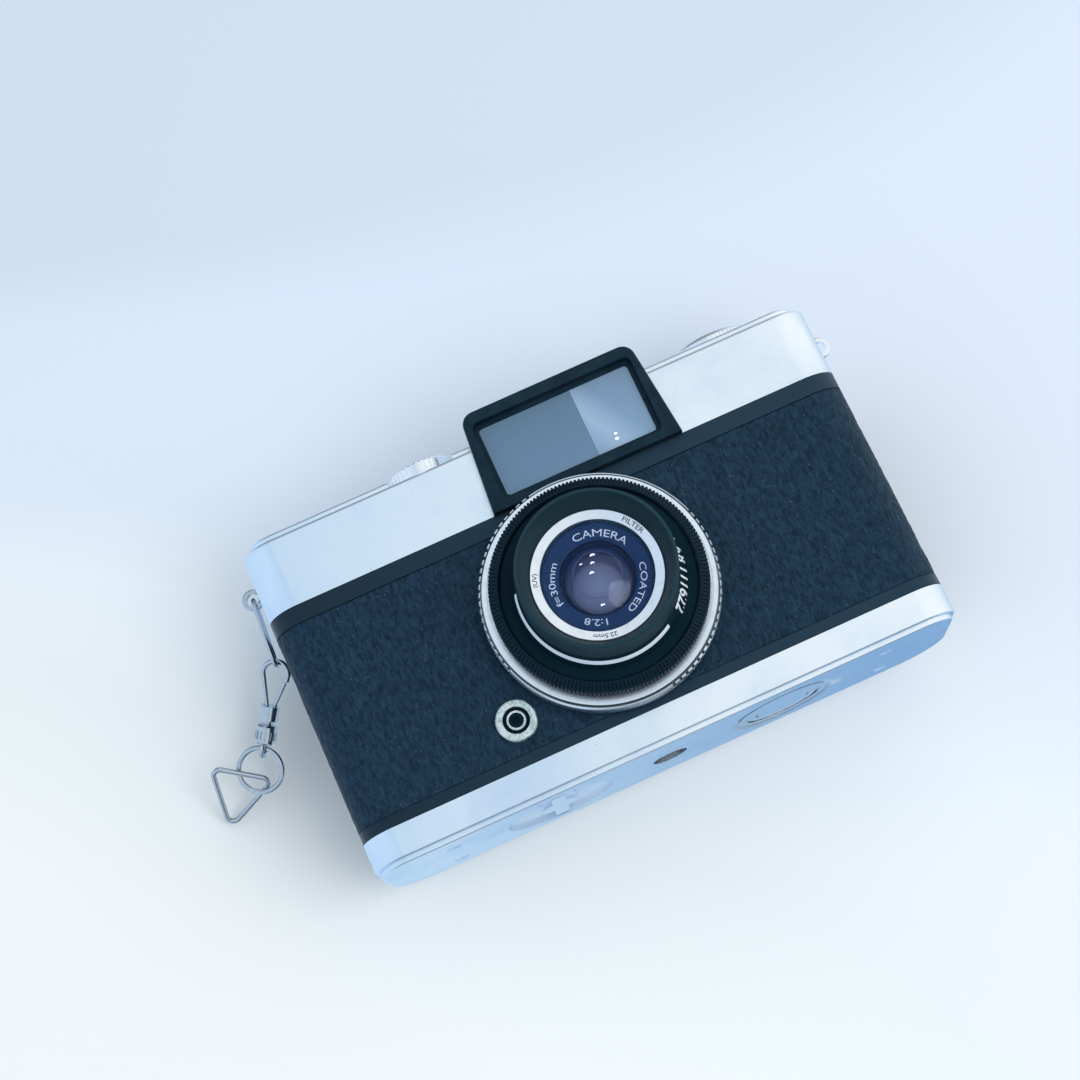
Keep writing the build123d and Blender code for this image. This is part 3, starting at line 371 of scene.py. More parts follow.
def verdigris(name="socket_nickel_with_verdigris"):
    """Tarnished nickel with pale green bloom and dark pits."""
    n = Nodes(name)
    patch = n.noise(520, 5.0, 0.65, distortion=0.6)
    pits = n.noise(2400, 3.0, 0.7)
    bloom = n.ramp(patch, [(0.42, 0.0), (0.56, 0.85), (0.8, 1.0)])
    tone = n.mix(bloom, (0.78, 0.84, 0.84), (0.42, 0.56, 0.52))
    tone = n.mix(n.ramp(pits, [(0.52, 0.0), (0.7, 0.8)]), tone, (0.16, 0.19, 0.16))
    metal = n.ramp(patch, [(0.42, 1.0), (0.6, 0.25)])
    rough = n.ramp(patch, [(0.35, 0.22), (0.6, 0.62)])
    normal = n.bump(n.math("ADD", patch, n.math("MULTIPLY", pits, 0.4)), 0.5, 0.0001)
    return n.set(Base_Color=tone, Metallic=metal, Roughness=rough, Normal=normal).mat


def paint(name, color, rough=0.5):
    """Printed marking with slightly uneven ink."""
    n = Nodes(name)
    speck = n.noise(3000, 3.0, 0.7)
    tone = n.mix(n.ramp(speck, [(0.45, 0.0), (0.8, 0.5)]), color, tuple(c * 0.7 for c in color))
    return n.set(Base_Color=tone, Roughness=rough).mat


# ------------------------------------------------------------------ materials
SATIN = chrome_satin("satin_chrome_grain")
POLISHED = chrome_polished("polished_chrome_worn", (0.86, 0.90, 0.95), 0.14, 0.2)
CHAIN = chrome_polished("chain_nickel_worn", (0.50, 0.55, 0.60), 0.12, 0.8)
STEEL = chrome_polished("bright_steel", (0.62, 0.65, 0.70), 0.3, 0.4)
SOCKET = verdigris()
ENAMEL = black_enamel("semi_gloss_black_enamel", 0.3, (0.010, 0.023, 0.039), 0.45, painted_left_shade=True)
BARREL = black_enamel("lens_black_enamel", 0.42, (0.003, 0.016, 0.024), 0.12, dusty=0.8)
# The front barrel takes a lighter copy of the lens enamel: painted sheen, with dust.
RIM_SHEEN_ENAMEL = black_enamel("barrel_rim_enamel_painted_sheen", 0.5, (0.012, 0.034, 0.044), 0.25, dusty=0.9)
KNURL = black_enamel("knurled_black_enamel", 0.42, (0.003, 0.012, 0.020), 0.22)
LEATHER = leatherette("black_wrinkled_leatherette")
PLASTIC = black_plastic("grained_black_plastic", 0.46, 0.3)
DARK = black_plastic("matt_black_inside", 0.7, 0.15)
ALUMINIUM = ring_metal("turned_satin_aluminium", (0.80, 0.875, 0.95), 0.3, groove=20.0)
FILTER = ring_metal("filter_ring_aluminium", (0.84, 0.88, 0.93), 0.34)
NAVY = black_enamel("nameplate_blue_black", 0.3, (0.020, 0.050, 0.125), 0.12)
GLASS = clear_glass("clear_polished_glass", (0.8, 0.88, 0.95), 0.02, 1.5)
FILTER_GLASS = clear_glass("coated_filter_glass", (0.88, 0.92, 1.0), 0.0, 1.12)
# Finder panes: colours painted for the shaded hollow behind them, the right one with a painted sheen.
LEFT_PANE = window_material("frameline_window_pane", (0.10, 0.205, 0.335), (0.055, 0.135, 0.220))
RIGHT_PANE = window_material("finder_lens_pane", (0.20, 0.34, 0.50), (0.13, 0.22, 0.34), sheen=0.5)
COATED = lens_coating("coated_front_element")
GLINT = glint("pink_white_glint", (1.0, 0.86, 0.93), 0.75)
WHITE = paint("white_marking", (0.80, 0.87, 0.93))
INK = paint("dark_marking", (0.02, 0.025, 0.035))

BY_NODE = {
    SATIN: ("top_cover", "bottom_plate"),
    POLISHED: (
        "accessory_shoe", "tripod_bush", "shutter_button", "button_guide", "rewind_knob", "rewind_crank",
        "rewind_sleeve", "advance_wheel", "counter_dial", "lock_key_left", "lock_key_right", "key_bail",
        "strap_lug_right",
    ),
    CHAIN: (
        "split_ring", "snap_hook", "snap_gate", "swivel", "round_ring", "triangle_ring", "strap_lug_left",
    ),
    STEEL: (
        "shoe_screws", "pressure_spring", "button_spring", "aperture_blade_1", "aperture_blade_2",
        "aperture_blade_3", "shutter_blade_1", "shutter_blade_2", "idler_gear",
    ),
    SOCKET: ("sync_flange", "sync_sleeve"),
    ENAMEL: ("body_casting", "cassette_housing", "back_cover", "pressure_plate"),
    BARREL: (
        "shutter_housing", "scale_ring", "shutter_speed_ring", "aperture_ring", "rear_cell",
    ),
    RIM_SHEEN_ENAMEL: ("front_barrel",),
    LEATHER: ("front_leatherette", "back_leatherette"),
    PLASTIC: ("viewfinder_bezel", "eyepiece_bezel"),
    DARK: ("viewfinder_tunnel", "take_up_spool", "sprocket", "sync_insulator"),
    ALUMINIUM: ("focus_ring",),
    FILTER: ("filter_ring",),
    NAVY: ("lens_nameplate",),
    GLASS: ("viewfinder_eye_lens", "rear_elements"),
    FILTER_GLASS: ("filter_glass",),
    LEFT_PANE: ("frameline_window",),
    RIGHT_PANE: ("viewfinder_front_lens",),
    COATED: ("front_elements",),
}
for mat, names in BY_NODE.items():
    for name in names:
        mesh = NODES[name].data
        mesh.materials.clear()
        mesh.materials.append(mat)


# ------------------------------------------------------------------ piece helpers
def piece(name, verts, faces, mat, body, replaces=(), smooth=False):
    """Mesh of one material that rides a body, and may stand in for CAD nodes."""
    mesh = bpy.data.meshes.new(name)
    mesh.from_pydata(verts, [], faces)
    mesh.validate()
    mesh.materials.append(mat)
    if smooth:
        mesh.polygons.foreach_set("use_smooth", [True] * len(mesh.polygons))
    obj = bpy.data.objects.new(name, mesh)
    bpy.context.scene.collection.objects.link(obj)
    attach(obj, body)
    if replaces:
        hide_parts(*replaces)
    return obj


def lens_point(radius, angle, ahead):
    """Point at a radius and angle about the lens axis, ahead of the body, all in millimetres and radians."""
    return (radius * math.cos(angle) * MM, -FRONT - ahead * MM, LENS_Z + radius * math.sin(angle) * MM)


def lathe(name, profile, steps, relief, mat, body, replaces):
    """Closed ring about the lens axis from a loop of (radius, ahead); relief(i, k) cuts into point k."""
    verts = []
    for i in range(steps):
        angle = 2 * math.pi * i / steps
        for k, (radius, ahead) in enumerate(profile):
            verts.append(lens_point(radius - relief(i, k), angle, ahead))
    count = len(profile)
    faces = []
    for i in range(steps):
        j = (i + 1) % steps
        for k in range(count):
            m = (k + 1) % count
            faces.append((i * count + k, j * count + k, j * count + m, i * count + m))
    return piece(name, verts, faces, mat, body, replaces)


GLYPH_DEPTH = 0.04


def glyph_mesh(text, size, depth, bold=0.0):
    """Vertices and faces of generic lettering laid flat, centred on x, its foot on y = 0."""
    curve = bpy.data.curves.new("glyphs", "FONT")
    curve.body = text
    curve.size = size
    curve.extrude = depth / 2
    curve.offset = bold * size
    curve.align_x = "CENTER"
    curve.resolution_u = 3
    holder = bpy.data.objects.new("glyphs", curve)
    bpy.context.scene.collection.objects.link(holder)
    bpy.context.view_layer.update()
    mesh = bpy.data.meshes.new_from_object(holder.evaluated_get(bpy.context.evaluated_depsgraph_get()))
    verts = [tuple(v.co) for v in mesh.vertices]
    faces = [tuple(p.vertices) for p in mesh.polygons]
    bpy.data.objects.remove(holder)
    bpy.data.curves.remove(curve)
    bpy.data.meshes.remove(mesh)
    return verts, faces


def ring_text(name, text, size, radius, centre, surface, mat, body, stretch, depth=GLYPH_DEPTH, bold=0.0):
    """Lettering round the lens axis, tops outwards, read clockwise; surface gives ahead at a radius."""
    verts, faces = glyph_mesh(text, size, depth, bold)
    placed = []
    for x, y, z in verts:
        angle = math.radians(centre) - x * stretch / radius
        r = radius + y
        placed.append(lens_point(r, angle, surface(r) + z))
    return piece(name, placed, faces, mat, body)


def top_text(name, text, size, radius, axis, angle, height, mat, body):
    """Lettering round a vertical axis on an upward face, tops outwards."""
    verts, faces = glyph_mesh(text, size, GLYPH_DEPTH)
    placed = []
    for x, y, z in verts:
        turn = math.radians(angle) - x / radius
        r = radius + y
        px = axis[0] + r * math.cos(turn)
        py = axis[1] + r * math.sin(turn)
        placed.append((px * MM, py * MM, (height + z) * MM))
    return piece(name, placed, faces, mat, body)


# ------------------------------------------------------------------ leatherette as relief
HALF_WIDTH, HALF_DEPTH = 53.75, 13.5
SEAM_Y = 4.5
FRONT_CORNER, REAR_CORNER = 6.0, 9.0
LEATHER_LOW, LEATHER_HIGH = 8.2, 45.0
LEATHER_STEP = 0.4
LEATHER_THICKNESS = 0.25 * MM
LENS_OPENING, SYNC_OPENING = 17.3, 3.2
EDGE_SINK = 0.12
WRINKLE_SINK = 0.06


def side_points(front):
    """Left side of the body, seam to front corner; at the back the corner starts at the seam."""
    if not front:
        return [(-HALF_WIDTH, SEAM_Y + 0.05, -1.0, 0.0)]
    length = SEAM_Y + HALF_DEPTH - FRONT_CORNER
    count = round(length / LEATHER_STEP)
    return [(-HALF_WIDTH, SEAM_Y - length * i / count, -1.0, 0.0) for i in range(count)]


def corner_points(radius, sign):
    """Left corner of the body, from the side to the broad face."""
    points = []
    count = round(radius * math.pi / 2 / LEATHER_STEP)
    for i in range(count):
        a = math.pi / 2 * i / count
        nx, ny = -math.cos(a), sign * math.sin(a)
        x = -HALF_WIDTH + radius + radius * nx
        y = sign * (HALF_DEPTH - radius) + radius * ny
        points.append((x, y, nx, ny))
    return points


def body_path(front):
    """Plan of the body's outer face with outward normals, about every 0.4 mm, left to right."""
    radius = FRONT_CORNER if front else REAR_CORNER
    sign = -1.0 if front else 1.0
    left = side_points(front) + corner_points(radius, sign)
    flat = 2 * (HALF_WIDTH - radius)
    count = round(flat / LEATHER_STEP)
    start = -HALF_WIDTH + radius
    broad = [(start + flat * i / count, sign * HALF_DEPTH, 0.0, sign) for i in range(count + 1)]
    right = [(-x, y, -nx, ny) for x, y, nx, ny in reversed(left)]
    return left + broad + right


RIDGE_HEIGHT, PEBBLE_HEIGHT, GRIT_HEIGHT = 0.085, 0.05, 0.022


def wrinkle(s, z):
    """Height of the leatherette's relief in millimetres: long soft wrinkles broken into pebbles."""
    warp = noise.noise(Vector((s * 0.35, z * 0.22, 3.1))) * 1.6
    long = noise.noise(Vector((s * 0.95 + warp, z * 0.30 + warp * 0.3, 7.7)))
    pebble = noise.noise(Vector((s * 1.9 + warp, z * 1.05, 1.3)))
    grit = noise.noise(Vector((s * 3.6, z * 2.6, 5.9)))
    return RIDGE_HEIGHT * (1.0 - abs(long) * 2.4) + PEBBLE_HEIGHT * pebble + GRIT_HEIGHT * grit


def leather_verts(path, rows):
    """Grid of points over the path, lifted by the wrinkles and sunk in at the edges."""
    verts = []
    along = 0.0
    for i, (x, y, nx, ny) in enumerate(path):
        if i:
            along += math.hypot(x - path[i - 1][0], y - path[i - 1][1])
        for k in range(rows + 1):
            z = LEATHER_LOW + (LEATHER_HIGH - LEATHER_LOW) * k / rows
            lift = wrinkle(along, z) - WRINKLE_SINK
            if k in (0, rows) or i in (0, len(path) - 1):
                lift = -EDGE_SINK
            verts.append(((x + nx * lift) * MM, (y + ny * lift) * MM, z * MM))
    return verts


def in_opening(x, z):
    """Whether a point of the front lies under the lens or the flash socket."""
    if math.hypot(x, z - LENS_HEIGHT) < LENS_OPENING:
        return True
    return math.hypot(x - SYNC_CENTRE[0], z - SYNC_CENTRE[1]) < SYNC_OPENING


def leather_faces(path, rows, front):
    """Quads of the grid; the broad front stays open under the lens and the flash socket."""
    faces = []
    count = rows + 1
    for i in range(len(path) - 1):
        x = (path[i][0] + path[i + 1][0]) / 2
        on_front = front and path[i][3] < -0.99
        for k in range(rows):
            z = LEATHER_LOW + (LEATHER_HIGH - LEATHER_LOW) * (k + 0.5) / rows
            if on_front and in_opening(x, z):
                continue
            a = i * count + k
            face = (a, a + count, a + count + 1, a + 1)
            faces.append(face if front else face[::-1])
    return faces


def drop_loose_points(mesh):
    cleaned = bmesh.new()
    cleaned.from_mesh(mesh)
    bmesh.ops.delete(cleaned, geom=[v for v in cleaned.verts if not v.link_faces], context="VERTS")
    cleaned.to_mesh(mesh)
    cleaned.free()


def leather_piece(name, front, body, node):
    """Wrinkled skin over the front or the back of the body, with thickness."""
    path = body_path(front)
    rows = round((LEATHER_HIGH - LEATHER_LOW) / LEATHER_STEP)
    verts = leather_verts(path, rows)
    faces = leather_faces(path, rows, front)
    obj = piece(name, verts, faces, LEATHER, body, (node,), smooth=True)
    drop_loose_points(obj.data)
    skin = obj.modifiers.new("thickness", "SOLIDIFY")
    skin.thickness = LEATHER_THICKNESS
    skin.offset = -1.0


leather_piece("front_leatherette_grain", True, "camera_body", "front_leatherette")
leather_piece("back_leatherette_grain", False, "removable_back", "back_leatherette")

# ------------------------------------------------------------------ button spring coil
SPRING_X, SPRING_Y, SPRING_LOW = -36.0, 0.5, 56.65
SPRING_TURNS, SPRING_PITCH, SPRING_RADIUS, SPRING_WIRE = 3, 1.15, 3.3, 0.2
SPRING_STEPS_PER_TURN, SPRING_SIDES = 28, 8


def wire_section(turn, height):
    """Round section of the wire, square to the helix, at a turn and a height."""
    slope = math.atan2(SPRING_PITCH, 2 * math.pi * SPRING_RADIUS)
    section = []
    for k in range(SPRING_SIDES):
        a = 2 * math.pi * k / SPRING_SIDES
        out, rise = SPRING_WIRE * math.cos(a), SPRING_WIRE * math.sin(a)
        radius, lean = SPRING_RADIUS + out, -rise * math.sin(slope)
        x = SPRING_X + radius * math.cos(turn) - lean * math.sin(turn)
        y = SPRING_Y + radius * math.sin(turn) + lean * math.cos(turn)
        section.append((x * MM, y * MM, (height + rise * math.cos(slope)) * MM))
    return section


def spring_piece(name):
    """Closed tube wound as a helix about the button's axis."""
    steps, sides = SPRING_TURNS * SPRING_STEPS_PER_TURN, SPRING_SIDES
    verts = []
    for i in range(steps + 1):
        turn = 2 * math.pi * SPRING_TURNS * i / steps
        verts += wire_section(turn, SPRING_LOW + SPRING_PITCH * SPRING_TURNS * i / steps)
    faces = [tuple(range(sides - 1, -1, -1)), tuple(steps * sides + k for k in range(sides))]
    for i in range(steps):
        for k in range(sides):
            m = (k + 1) % sides
            faces.append((i * sides + k, i * sides + m, (i + 1) * sides + m, (i + 1) * sides + k))
    return piece(name, verts, faces, STEEL, "camera_body", ("button_spring",), smooth=True)


spring = spring_piece("button_spring_coil")
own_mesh(spring)

# ------------------------------------------------------------------ lens details
KNURL_TEETH = 168
KNURL_STEPS = 6
KNURL_DEPTH = 0.3
SPEED_RING_PROFILE = (
    (16.5, 5.4), (18.3, 5.4), (18.5, 5.6), (18.5, 8.3), (17.25, 9.3), (17.0, 9.4), (16.8, 9.4), (16.5, 9.0),
)
KNURLED_POINTS = (2, 3, 4)


def knurl_relief(step, point):
    """Every tooth gap is two steps wide and cuts the outer edge of the ring."""
    return KNURL_DEPTH if step % KNURL_STEPS in (0, 1) and point in KNURLED_POINTS else 0.0


lathe(
    "speed_ring_knurled", SPEED_RING_PROFILE, KNURL_TEETH * KNURL_STEPS, knurl_relief, KNURL, "speed_ring",
    ("shutter_speed_ring",),
)


def cone(edge_radius, edge_ahead, slope):
    """Function that says how far ahead of the body a conical face lies at a radius."""

    def ahead(radius):
        return edge_ahead + (radius - edge_radius) * slope

    return ahead


aperture_cone = cone(edge_radius=14.5, edge_ahead=9.0, slope=-2.7)
nameplate_cone = cone(edge_radius=6.8, edge_ahead=12.42, slope=0.09)
filter_cone = cone(edge_radius=9.5, edge_ahead=14.3, slope=0.2)


def arc_band(name, inner, outer, start, end, surface, mat, body):
    """Thin painted band round the lens axis between two angles in degrees."""
    sink, lift = -0.05, 0.06
    steps = round((end - start) / 1.5)
    verts = []
    for i in range(steps + 1):
        angle = math.radians(start + (end - start) * i / steps)
        for radius in (inner, outer):
            for rise in (sink, lift):
                verts.append(lens_point(radius, angle, surface(radius) + rise))
    faces = [(0, 2, 3, 1), (4 * steps, 4 * steps + 1, 4 * steps + 3, 4 * steps + 2)]
    for i in range(steps):
        a, b = 4 * i, 4 * i + 4
        faces += [(a + 1, a + 3, b + 3, b + 1), (a, b, b + 2, a + 2)]
        faces += [(a, a + 1, b + 1, b), (a + 2, b + 2, b + 3, a + 3)]
    return piece(name, verts, faces, mat, body)


arc_band("aperture_scale_line", 13.72, 14.10, 165, 302, aperture_cone, WHITE, "aperture_ring")

STOPS = ("2.8", "4", "5.6", "8", "11", "16", "22")
LAST_STOP_ANGLE, STOP_ANGLE = -40.5, 10.5
STOP_SIZE, STOP_RADIUS, STOP_DEPTH = 2.0, 13.62, 0.1
TEXT_STRETCH, FILTER_STRETCH = 1.3, 1.15
for index, stop in enumerate(STOPS):
    label = "aperture_number_" + stop.replace(".", "_")
    where = LAST_STOP_ANGLE + STOP_ANGLE * (len(STOPS) - 1 - index)
    ring_text(
        label, stop, STOP_SIZE, STOP_RADIUS, where, aperture_cone, WHITE, "aperture_ring",
        TEXT_STRETCH, STOP_DEPTH, bold=0.02,
    )

NAMEPLATE_RADIUS = 7.05
NAMEPLATE_TEXTS = (
    ("top", "CAMERA", 1.75, 63),
    ("right", "COATED", 1.6, -38),
    ("left", "f=30mm", 1.65, 165),
    ("foot", "1:2.8", 1.6, 245),
)
for place, text, size, where in NAMEPLATE_TEXTS:
    label = f"nameplate_text_{place}"
    ring_text(label, text, size, NAMEPLATE_RADIUS, where, nameplate_cone, WHITE, "front_cell", TEXT_STRETCH)

FILTER_RADIUS = 9.95
FILTER_TEXTS = (("size", "22.5mm", 1.05, 253), ("kind", "(UV)", 1.05, 161), ("top", "FILTER", 1.2, 31))
for place, text, size, where in FILTER_TEXTS:
    label = f"filter_text_{place}"
    ring_text(
        label, text, size, FILTER_RADIUS, where, filter_cone, INK, "front_cell", FILTER_STRETCH, bold=0.01
    )

DOME_FOOT, DOME_RISE, DOME_REACH_SQUARED = 11.2, 1.5, 40.3
GLINT_LIFT, GLINT_DROP = 0.06, 0.03
LENS_GLINTS = (
    (0.75, 3.95, 0.95, 0.35),
    (0.2, 2.65, 0.8, 0.3),
    (-1.6, 3.25, 0.55, 0.22),
    (-0.6, 1.1, 0.85, 0.35),
    (-1.1, -4.4, 0.8, 0.4),
)


def element_front(x, z):
    """Ahead of the front element's dome."""
    return DOME_FOOT + DOME_RISE * (1 - (x * x + z * z) / DOME_REACH_SQUARED)


def glint_patch(name, x, z, width, height):
    """Small leaf-shaped painted reflection in the front element."""
    ahead = element_front(x, z) + GLINT_LIFT
    verts = [(x * MM, -FRONT - ahead * MM, LENS_Z + z * MM)]
    steps = 20
    for i in range(steps):
        a = 2 * math.pi * i / steps
        bend = 0.25 * height * math.cos(2 * a)
        px = x + width / 2 * math.cos(a)
        pz = z + height / 2 * math.sin(a) - bend
        verts.append((px * MM, -FRONT - (ahead - GLINT_DROP) * MM, LENS_Z + pz * MM))
    faces = [(0, i + 1, (i + 1) % steps + 1) for i in range(steps)]
    return piece(name, verts, faces, GLINT, "front_cell")


for index, (x, z, width, height) in enumerate(LENS_GLINTS):
    glint_patch(f"lens_glint_{index + 1}", x, z, width, height)

PANE_FRONT = 13.3 * MM
PANE_GLINT_SIDES = 16


def pane_glint(name, x, z, width, height):
    """Small painted reflection on the finder lens."""
    sides = PANE_GLINT_SIDES
    verts = []
    for rise in (0.02, 0.06):
        for i in range(sides):
            a = 2 * math.pi * i / sides
            wave = 1.0 + 0.15 * math.cos(3 * a)
            px = x + width / 2 * wave * math.cos(a)
            pz = z + height / 2 * math.sin(a)
            verts.append((px * MM, -PANE_FRONT - rise * MM, pz * MM))
    faces = [tuple(range(sides - 1, -1, -1)), tuple(range(sides, 2 * sides))]
    faces += [(i, (i + 1) % sides, (i + 1) % sides + sides, i + sides) for i in range(sides)]
    return piece(name, verts, faces, GLINT, "camera_body")


pane_glint("finder_glint_1", 14.25, 52.95, 0.55, 0.35)
pane_glint("finder_glint_2", 14.1, 52.0, 0.7, 0.45)

# ------------------------------------------------------------------ numbers on the counter dial
DIAL_AXIS, DIAL_TOP = (-19.2, -6.4), 63.3
DIAL_NUMBERS, FRAMES_PER_NUMBER = 12, 6
DIAL_TEXT_SIZE, DIAL_TEXT_RADIUS = 1.15, 4.3
for index in range(DIAL_NUMBERS):
    frames = index * FRAMES_PER_NUMBER
    angle = 90 - index * 360 / DIAL_NUMBERS
    label = f"counter_number_{frames}"
    top_text(
        label, str(frames), DIAL_TEXT_SIZE, DIAL_TEXT_RADIUS, DIAL_AXIS, angle, DIAL_TOP, INK, "counter_dial"
    )


# ------------------------------------------------------------------ stage, light, camera
def camera_only(obj):
    """Seen by the camera, but no light source and no reflection."""
    obj.visible_diffuse = False
    obj.visible_glossy = False
    obj.visible_transmission = False
    obj.visible_shadow = False


def stage_plane(name, corners, mat):
    mesh = bpy.data.meshes.new(name)
    mesh.from_pydata(corners, [], [(0, 1, 2, 3)])
    obj = bpy.data.objects.new(name, mesh)
    bpy.context.scene.collection.objects.link(obj)
    mesh.materials.append(mat)
    camera_only(obj)


def stage_material(name, tone_for, hidden_when):
    """Matt pale surface that turns clear where hidden_when gives 1."""
    n = Nodes(name)
    n.set(Base_Color=tone_for(n), Roughness=0.9, Specular_IOR_Level=0.1)
    clear = n.new("ShaderNodeBsdfTransparent")
    mixer = n.new("ShaderNodeMixShader")
    n.put(mixer.inputs[0], hidden_when(n))
    n.link(n.bsdf.outputs[0], mixer.inputs[1])
    n.link(clear.outputs[0], mixer.inputs[2])
    n.link(mixer.outputs[0], n.out.inputs["Surface"])
    return n.mat


TILT_COS, TILT_SIN = 0.907, 0.42
TABLE_RISE_TOP, TABLE_RISE_SPAN = 0.13, 0.2
TABLE_Y = 18.8 * MM
REACH = 12.0
LOOK_DOWN_LIMIT = 0.075
# Painted light and shade across the table, from its blue top to its pale foot.
TABLE_LIGHT_TONES = [
    (0.0, (0.66, 0.715, 0.79)),
    (0.13, (0.735, 0.775, 0.855)),
    (0.42, (0.75, 0.79, 0.85)),
    (0.55, (0.84, 0.855, 0.855)),
    (0.72, (0.845, 0.845, 0.82)),
    (1.0, (0.92, 0.90, 0.86)),
]


def table_tone(n):
    """Painted light and shade on the table: pale blue above the tilted camera, nearly white below it, the
    change twisted from left to right.
    """
    xyz = n.separate()
    across = n.math("SUBTRACT", n.math("MULTIPLY", xyz[0], TILT_COS), n.math("MULTIPLY", xyz[2], TILT_SIN))
    rise = n.math("ADD", n.math("MULTIPLY", xyz[0], TILT_SIN), n.math("MULTIPLY", xyz[2], TILT_COS))
    depth = n.math("DIVIDE", n.math("SUBTRACT", TABLE_RISE_TOP, rise), TABLE_RISE_SPAN)
    twist = n.math("MULTIPLY", n.math("MULTIPLY", across, 6.0), n.math("SUBTRACT", 0.35, depth))
    return n.ramp(n.math("ADD", depth, twist, clamp=True), TABLE_LIGHT_TONES)


def table_hidden(n):
    """Shown only to rays that come from in front and not from high above."""
    geometry = n.new("ShaderNodeNewGeometry")
    incoming = n.separate(geometry.outputs["Incoming"])
    above = n.math("GREATER_THAN", incoming[2], LOOK_DOWN_LIMIT)
    behind = n.math("GREATER_THAN", incoming[1], 0.0)
    return n.math("MAXIMUM", above, behind)


def floor_tone(n):
    return n.ramp(n.noise(6.0, 2.0), [(0.0, (0.90, 0.925, 0.95)), (1.0, (0.93, 0.95, 0.97))])


def floor_hidden(n):
    geometry = n.new("ShaderNodeNewGeometry")
    return geometry.outputs["Backfacing"]


stage_plane(
    "table_behind",
    [(-REACH, TABLE_Y, -REACH), (REACH, TABLE_Y, -REACH), (REACH, TABLE_Y, REACH), (-REACH, TABLE_Y, REACH)],
    stage_material("pale_table", table_tone, table_hidden),
)
stage_plane(
    "floor_below",
    [(-REACH, -REACH, 0.0), (REACH, -REACH, 0.0), (REACH, REACH, 0.0), (-REACH, REACH, 0.0)],
    stage_material("pale_floor", floor_tone, floor_hidden),
)

world = bpy.data.worlds.new("soft_studio")
bpy.context.scene.world = world
world.use_nodes = True
FRONT_SKY = (
    (0.25, (0.72, 0.85, 1.0)),
    (0.42, (0.56, 0.70, 0.85)),
    (0.53, (0.86, 0.925, 0.955)),
    (0.75, (0.94, 0.98, 1.0)),
)
REAR_SKY = (
    (0.3, (0.62, 0.80, 0.98)),
    (0.46, (0.70, 0.87, 1.0)),
    (0.54, (0.27, 0.45, 0.68)),
    (0.8, (0.4, 0.6, 0.8)),
)

SKY_STRENGTH, POLE_STRENGTH = 1.03, 0.35
POLE_START, POLE_END = 0.72, 0.93
REAR_START, REAR_END = 0.1, 0.95


def sky_range(tree, source, low, high, start=0.0, end=1.0):
    """Map low..high of a socket to start..end."""
    node = tree.nodes.new("ShaderNodeMapRange")
    for name, value in (("From Min", low), ("From Max", high), ("To Min", start), ("To Max", end)):
        node.inputs[name].default_value = value
    tree.links.new(source, node.inputs["Value"])
    return node.outputs[0]


def sky_ramp(tree, x, stops):
    """Colours from left to right."""
    node = tree.nodes.new("ShaderNodeValToRGB")
    fill_ramp(node.color_ramp.elements, stops)
    tree.links.new(sky_range(tree, x, -1.0, 1.0), node.inputs["Fac"])
    return node.outputs["Color"]


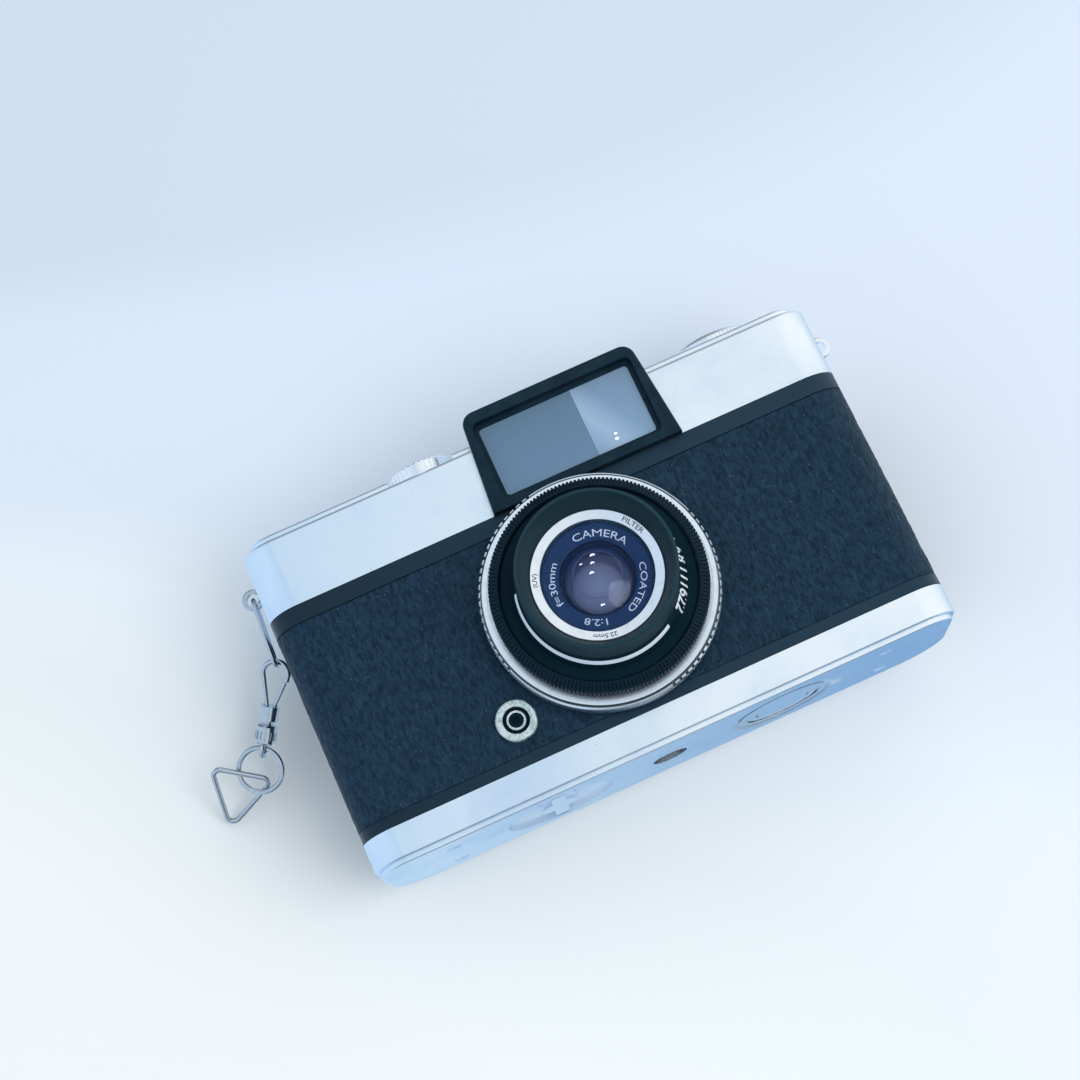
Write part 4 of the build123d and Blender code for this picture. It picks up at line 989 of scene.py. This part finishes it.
def world_tone(tree):
    """Cool white in front, bluer to the left and behind, dim straight above and below."""
    backdrop = tree.nodes["Background"]
    coord = tree.nodes.new("ShaderNodeTexCoord")
    xyz = tree.nodes.new("ShaderNodeSeparateXYZ")
    tree.links.new(coord.outputs["Generated"], xyz.inputs[0])
    x, y, z = xyz.outputs
    mixed = tree.nodes.new("ShaderNodeMix")
    mixed.data_type = "RGBA"
    tree.links.new(sky_range(tree, y, REAR_START, REAR_END), mixed.inputs[0])
    tree.links.new(sky_ramp(tree, x, FRONT_SKY), mixed.inputs[6])
    tree.links.new(sky_ramp(tree, x, REAR_SKY), mixed.inputs[7])
    tree.links.new(mixed.outputs[2], backdrop.inputs["Color"])
    height = tree.nodes.new("ShaderNodeMath")
    height.operation = "ABSOLUTE"
    tree.links.new(z, height.inputs[0])
    strength = sky_range(tree, height.outputs[0], POLE_START, POLE_END, SKY_STRENGTH, POLE_STRENGTH)
    tree.links.new(strength, backdrop.inputs["Strength"])


world_tone(world.node_tree)


def area_light(name, location, target, size, power, color):
    """Round soft light that points at a target."""
    data = bpy.data.lights.new(name, "AREA")
    data.shape = "DISK"
    data.size = size
    data.energy = power
    data.color = color
    obj = bpy.data.objects.new(name, data)
    obj.location = location
    direction = Vector(target) - Vector(location)
    obj.rotation_euler = direction.to_track_quat("-Z", "Y").to_euler()
    bpy.context.scene.collection.objects.link(obj)
    return obj


KEY_PLACE, KEY_TARGET = (0.35, -0.75, -0.25), (0.0, 0.0, 0.03)
KEY_SIZE, KEY_POWER, KEY_COLOR = 0.55, 2.4, (0.93, 0.96, 1.0)
key = area_light("key_soft", KEY_PLACE, KEY_TARGET, KEY_SIZE, KEY_POWER, KEY_COLOR)
key.visible_glossy = False
key.visible_camera = False

AZIMUTH = math.radians(-2.94)
ELEVATION = math.radians(-15.30)
ROLL = math.radians(24.87)
AIM_CENTRE = (0.0, 0.0, 32.0 * MM)
AIM_RIGHT, AIM_UP = -4.681 * MM, 12.288 * MM
DISTANCE = 395.24 * MM
FIELD = math.radians(27.0)

right = Vector((math.cos(AZIMUTH), math.sin(AZIMUTH), 0.0))
level = math.cos(ELEVATION)
back = Vector((math.sin(AZIMUTH) * level, -math.cos(AZIMUTH) * level, math.sin(ELEVATION)))
up = back.cross(right)
target = Vector(AIM_CENTRE) + right * AIM_RIGHT + up * AIM_UP
cam_right = right * math.cos(ROLL) - up * math.sin(ROLL)
cam_up = right * math.sin(ROLL) + up * math.cos(ROLL)
camera_data = bpy.data.cameras.new("main_camera")
camera_data.angle = FIELD
camera_data.clip_start = 10 * MM
camera = bpy.data.objects.new("main_camera", camera_data)
rotation = Matrix((cam_right, cam_up, back)).transposed().to_4x4()
camera.matrix_world = Matrix.Translation(target + back * DISTANCE) @ rotation
bpy.context.scene.collection.objects.link(camera)
bpy.context.scene.camera = camera

bpy.context.scene.view_settings.view_transform = "Standard"
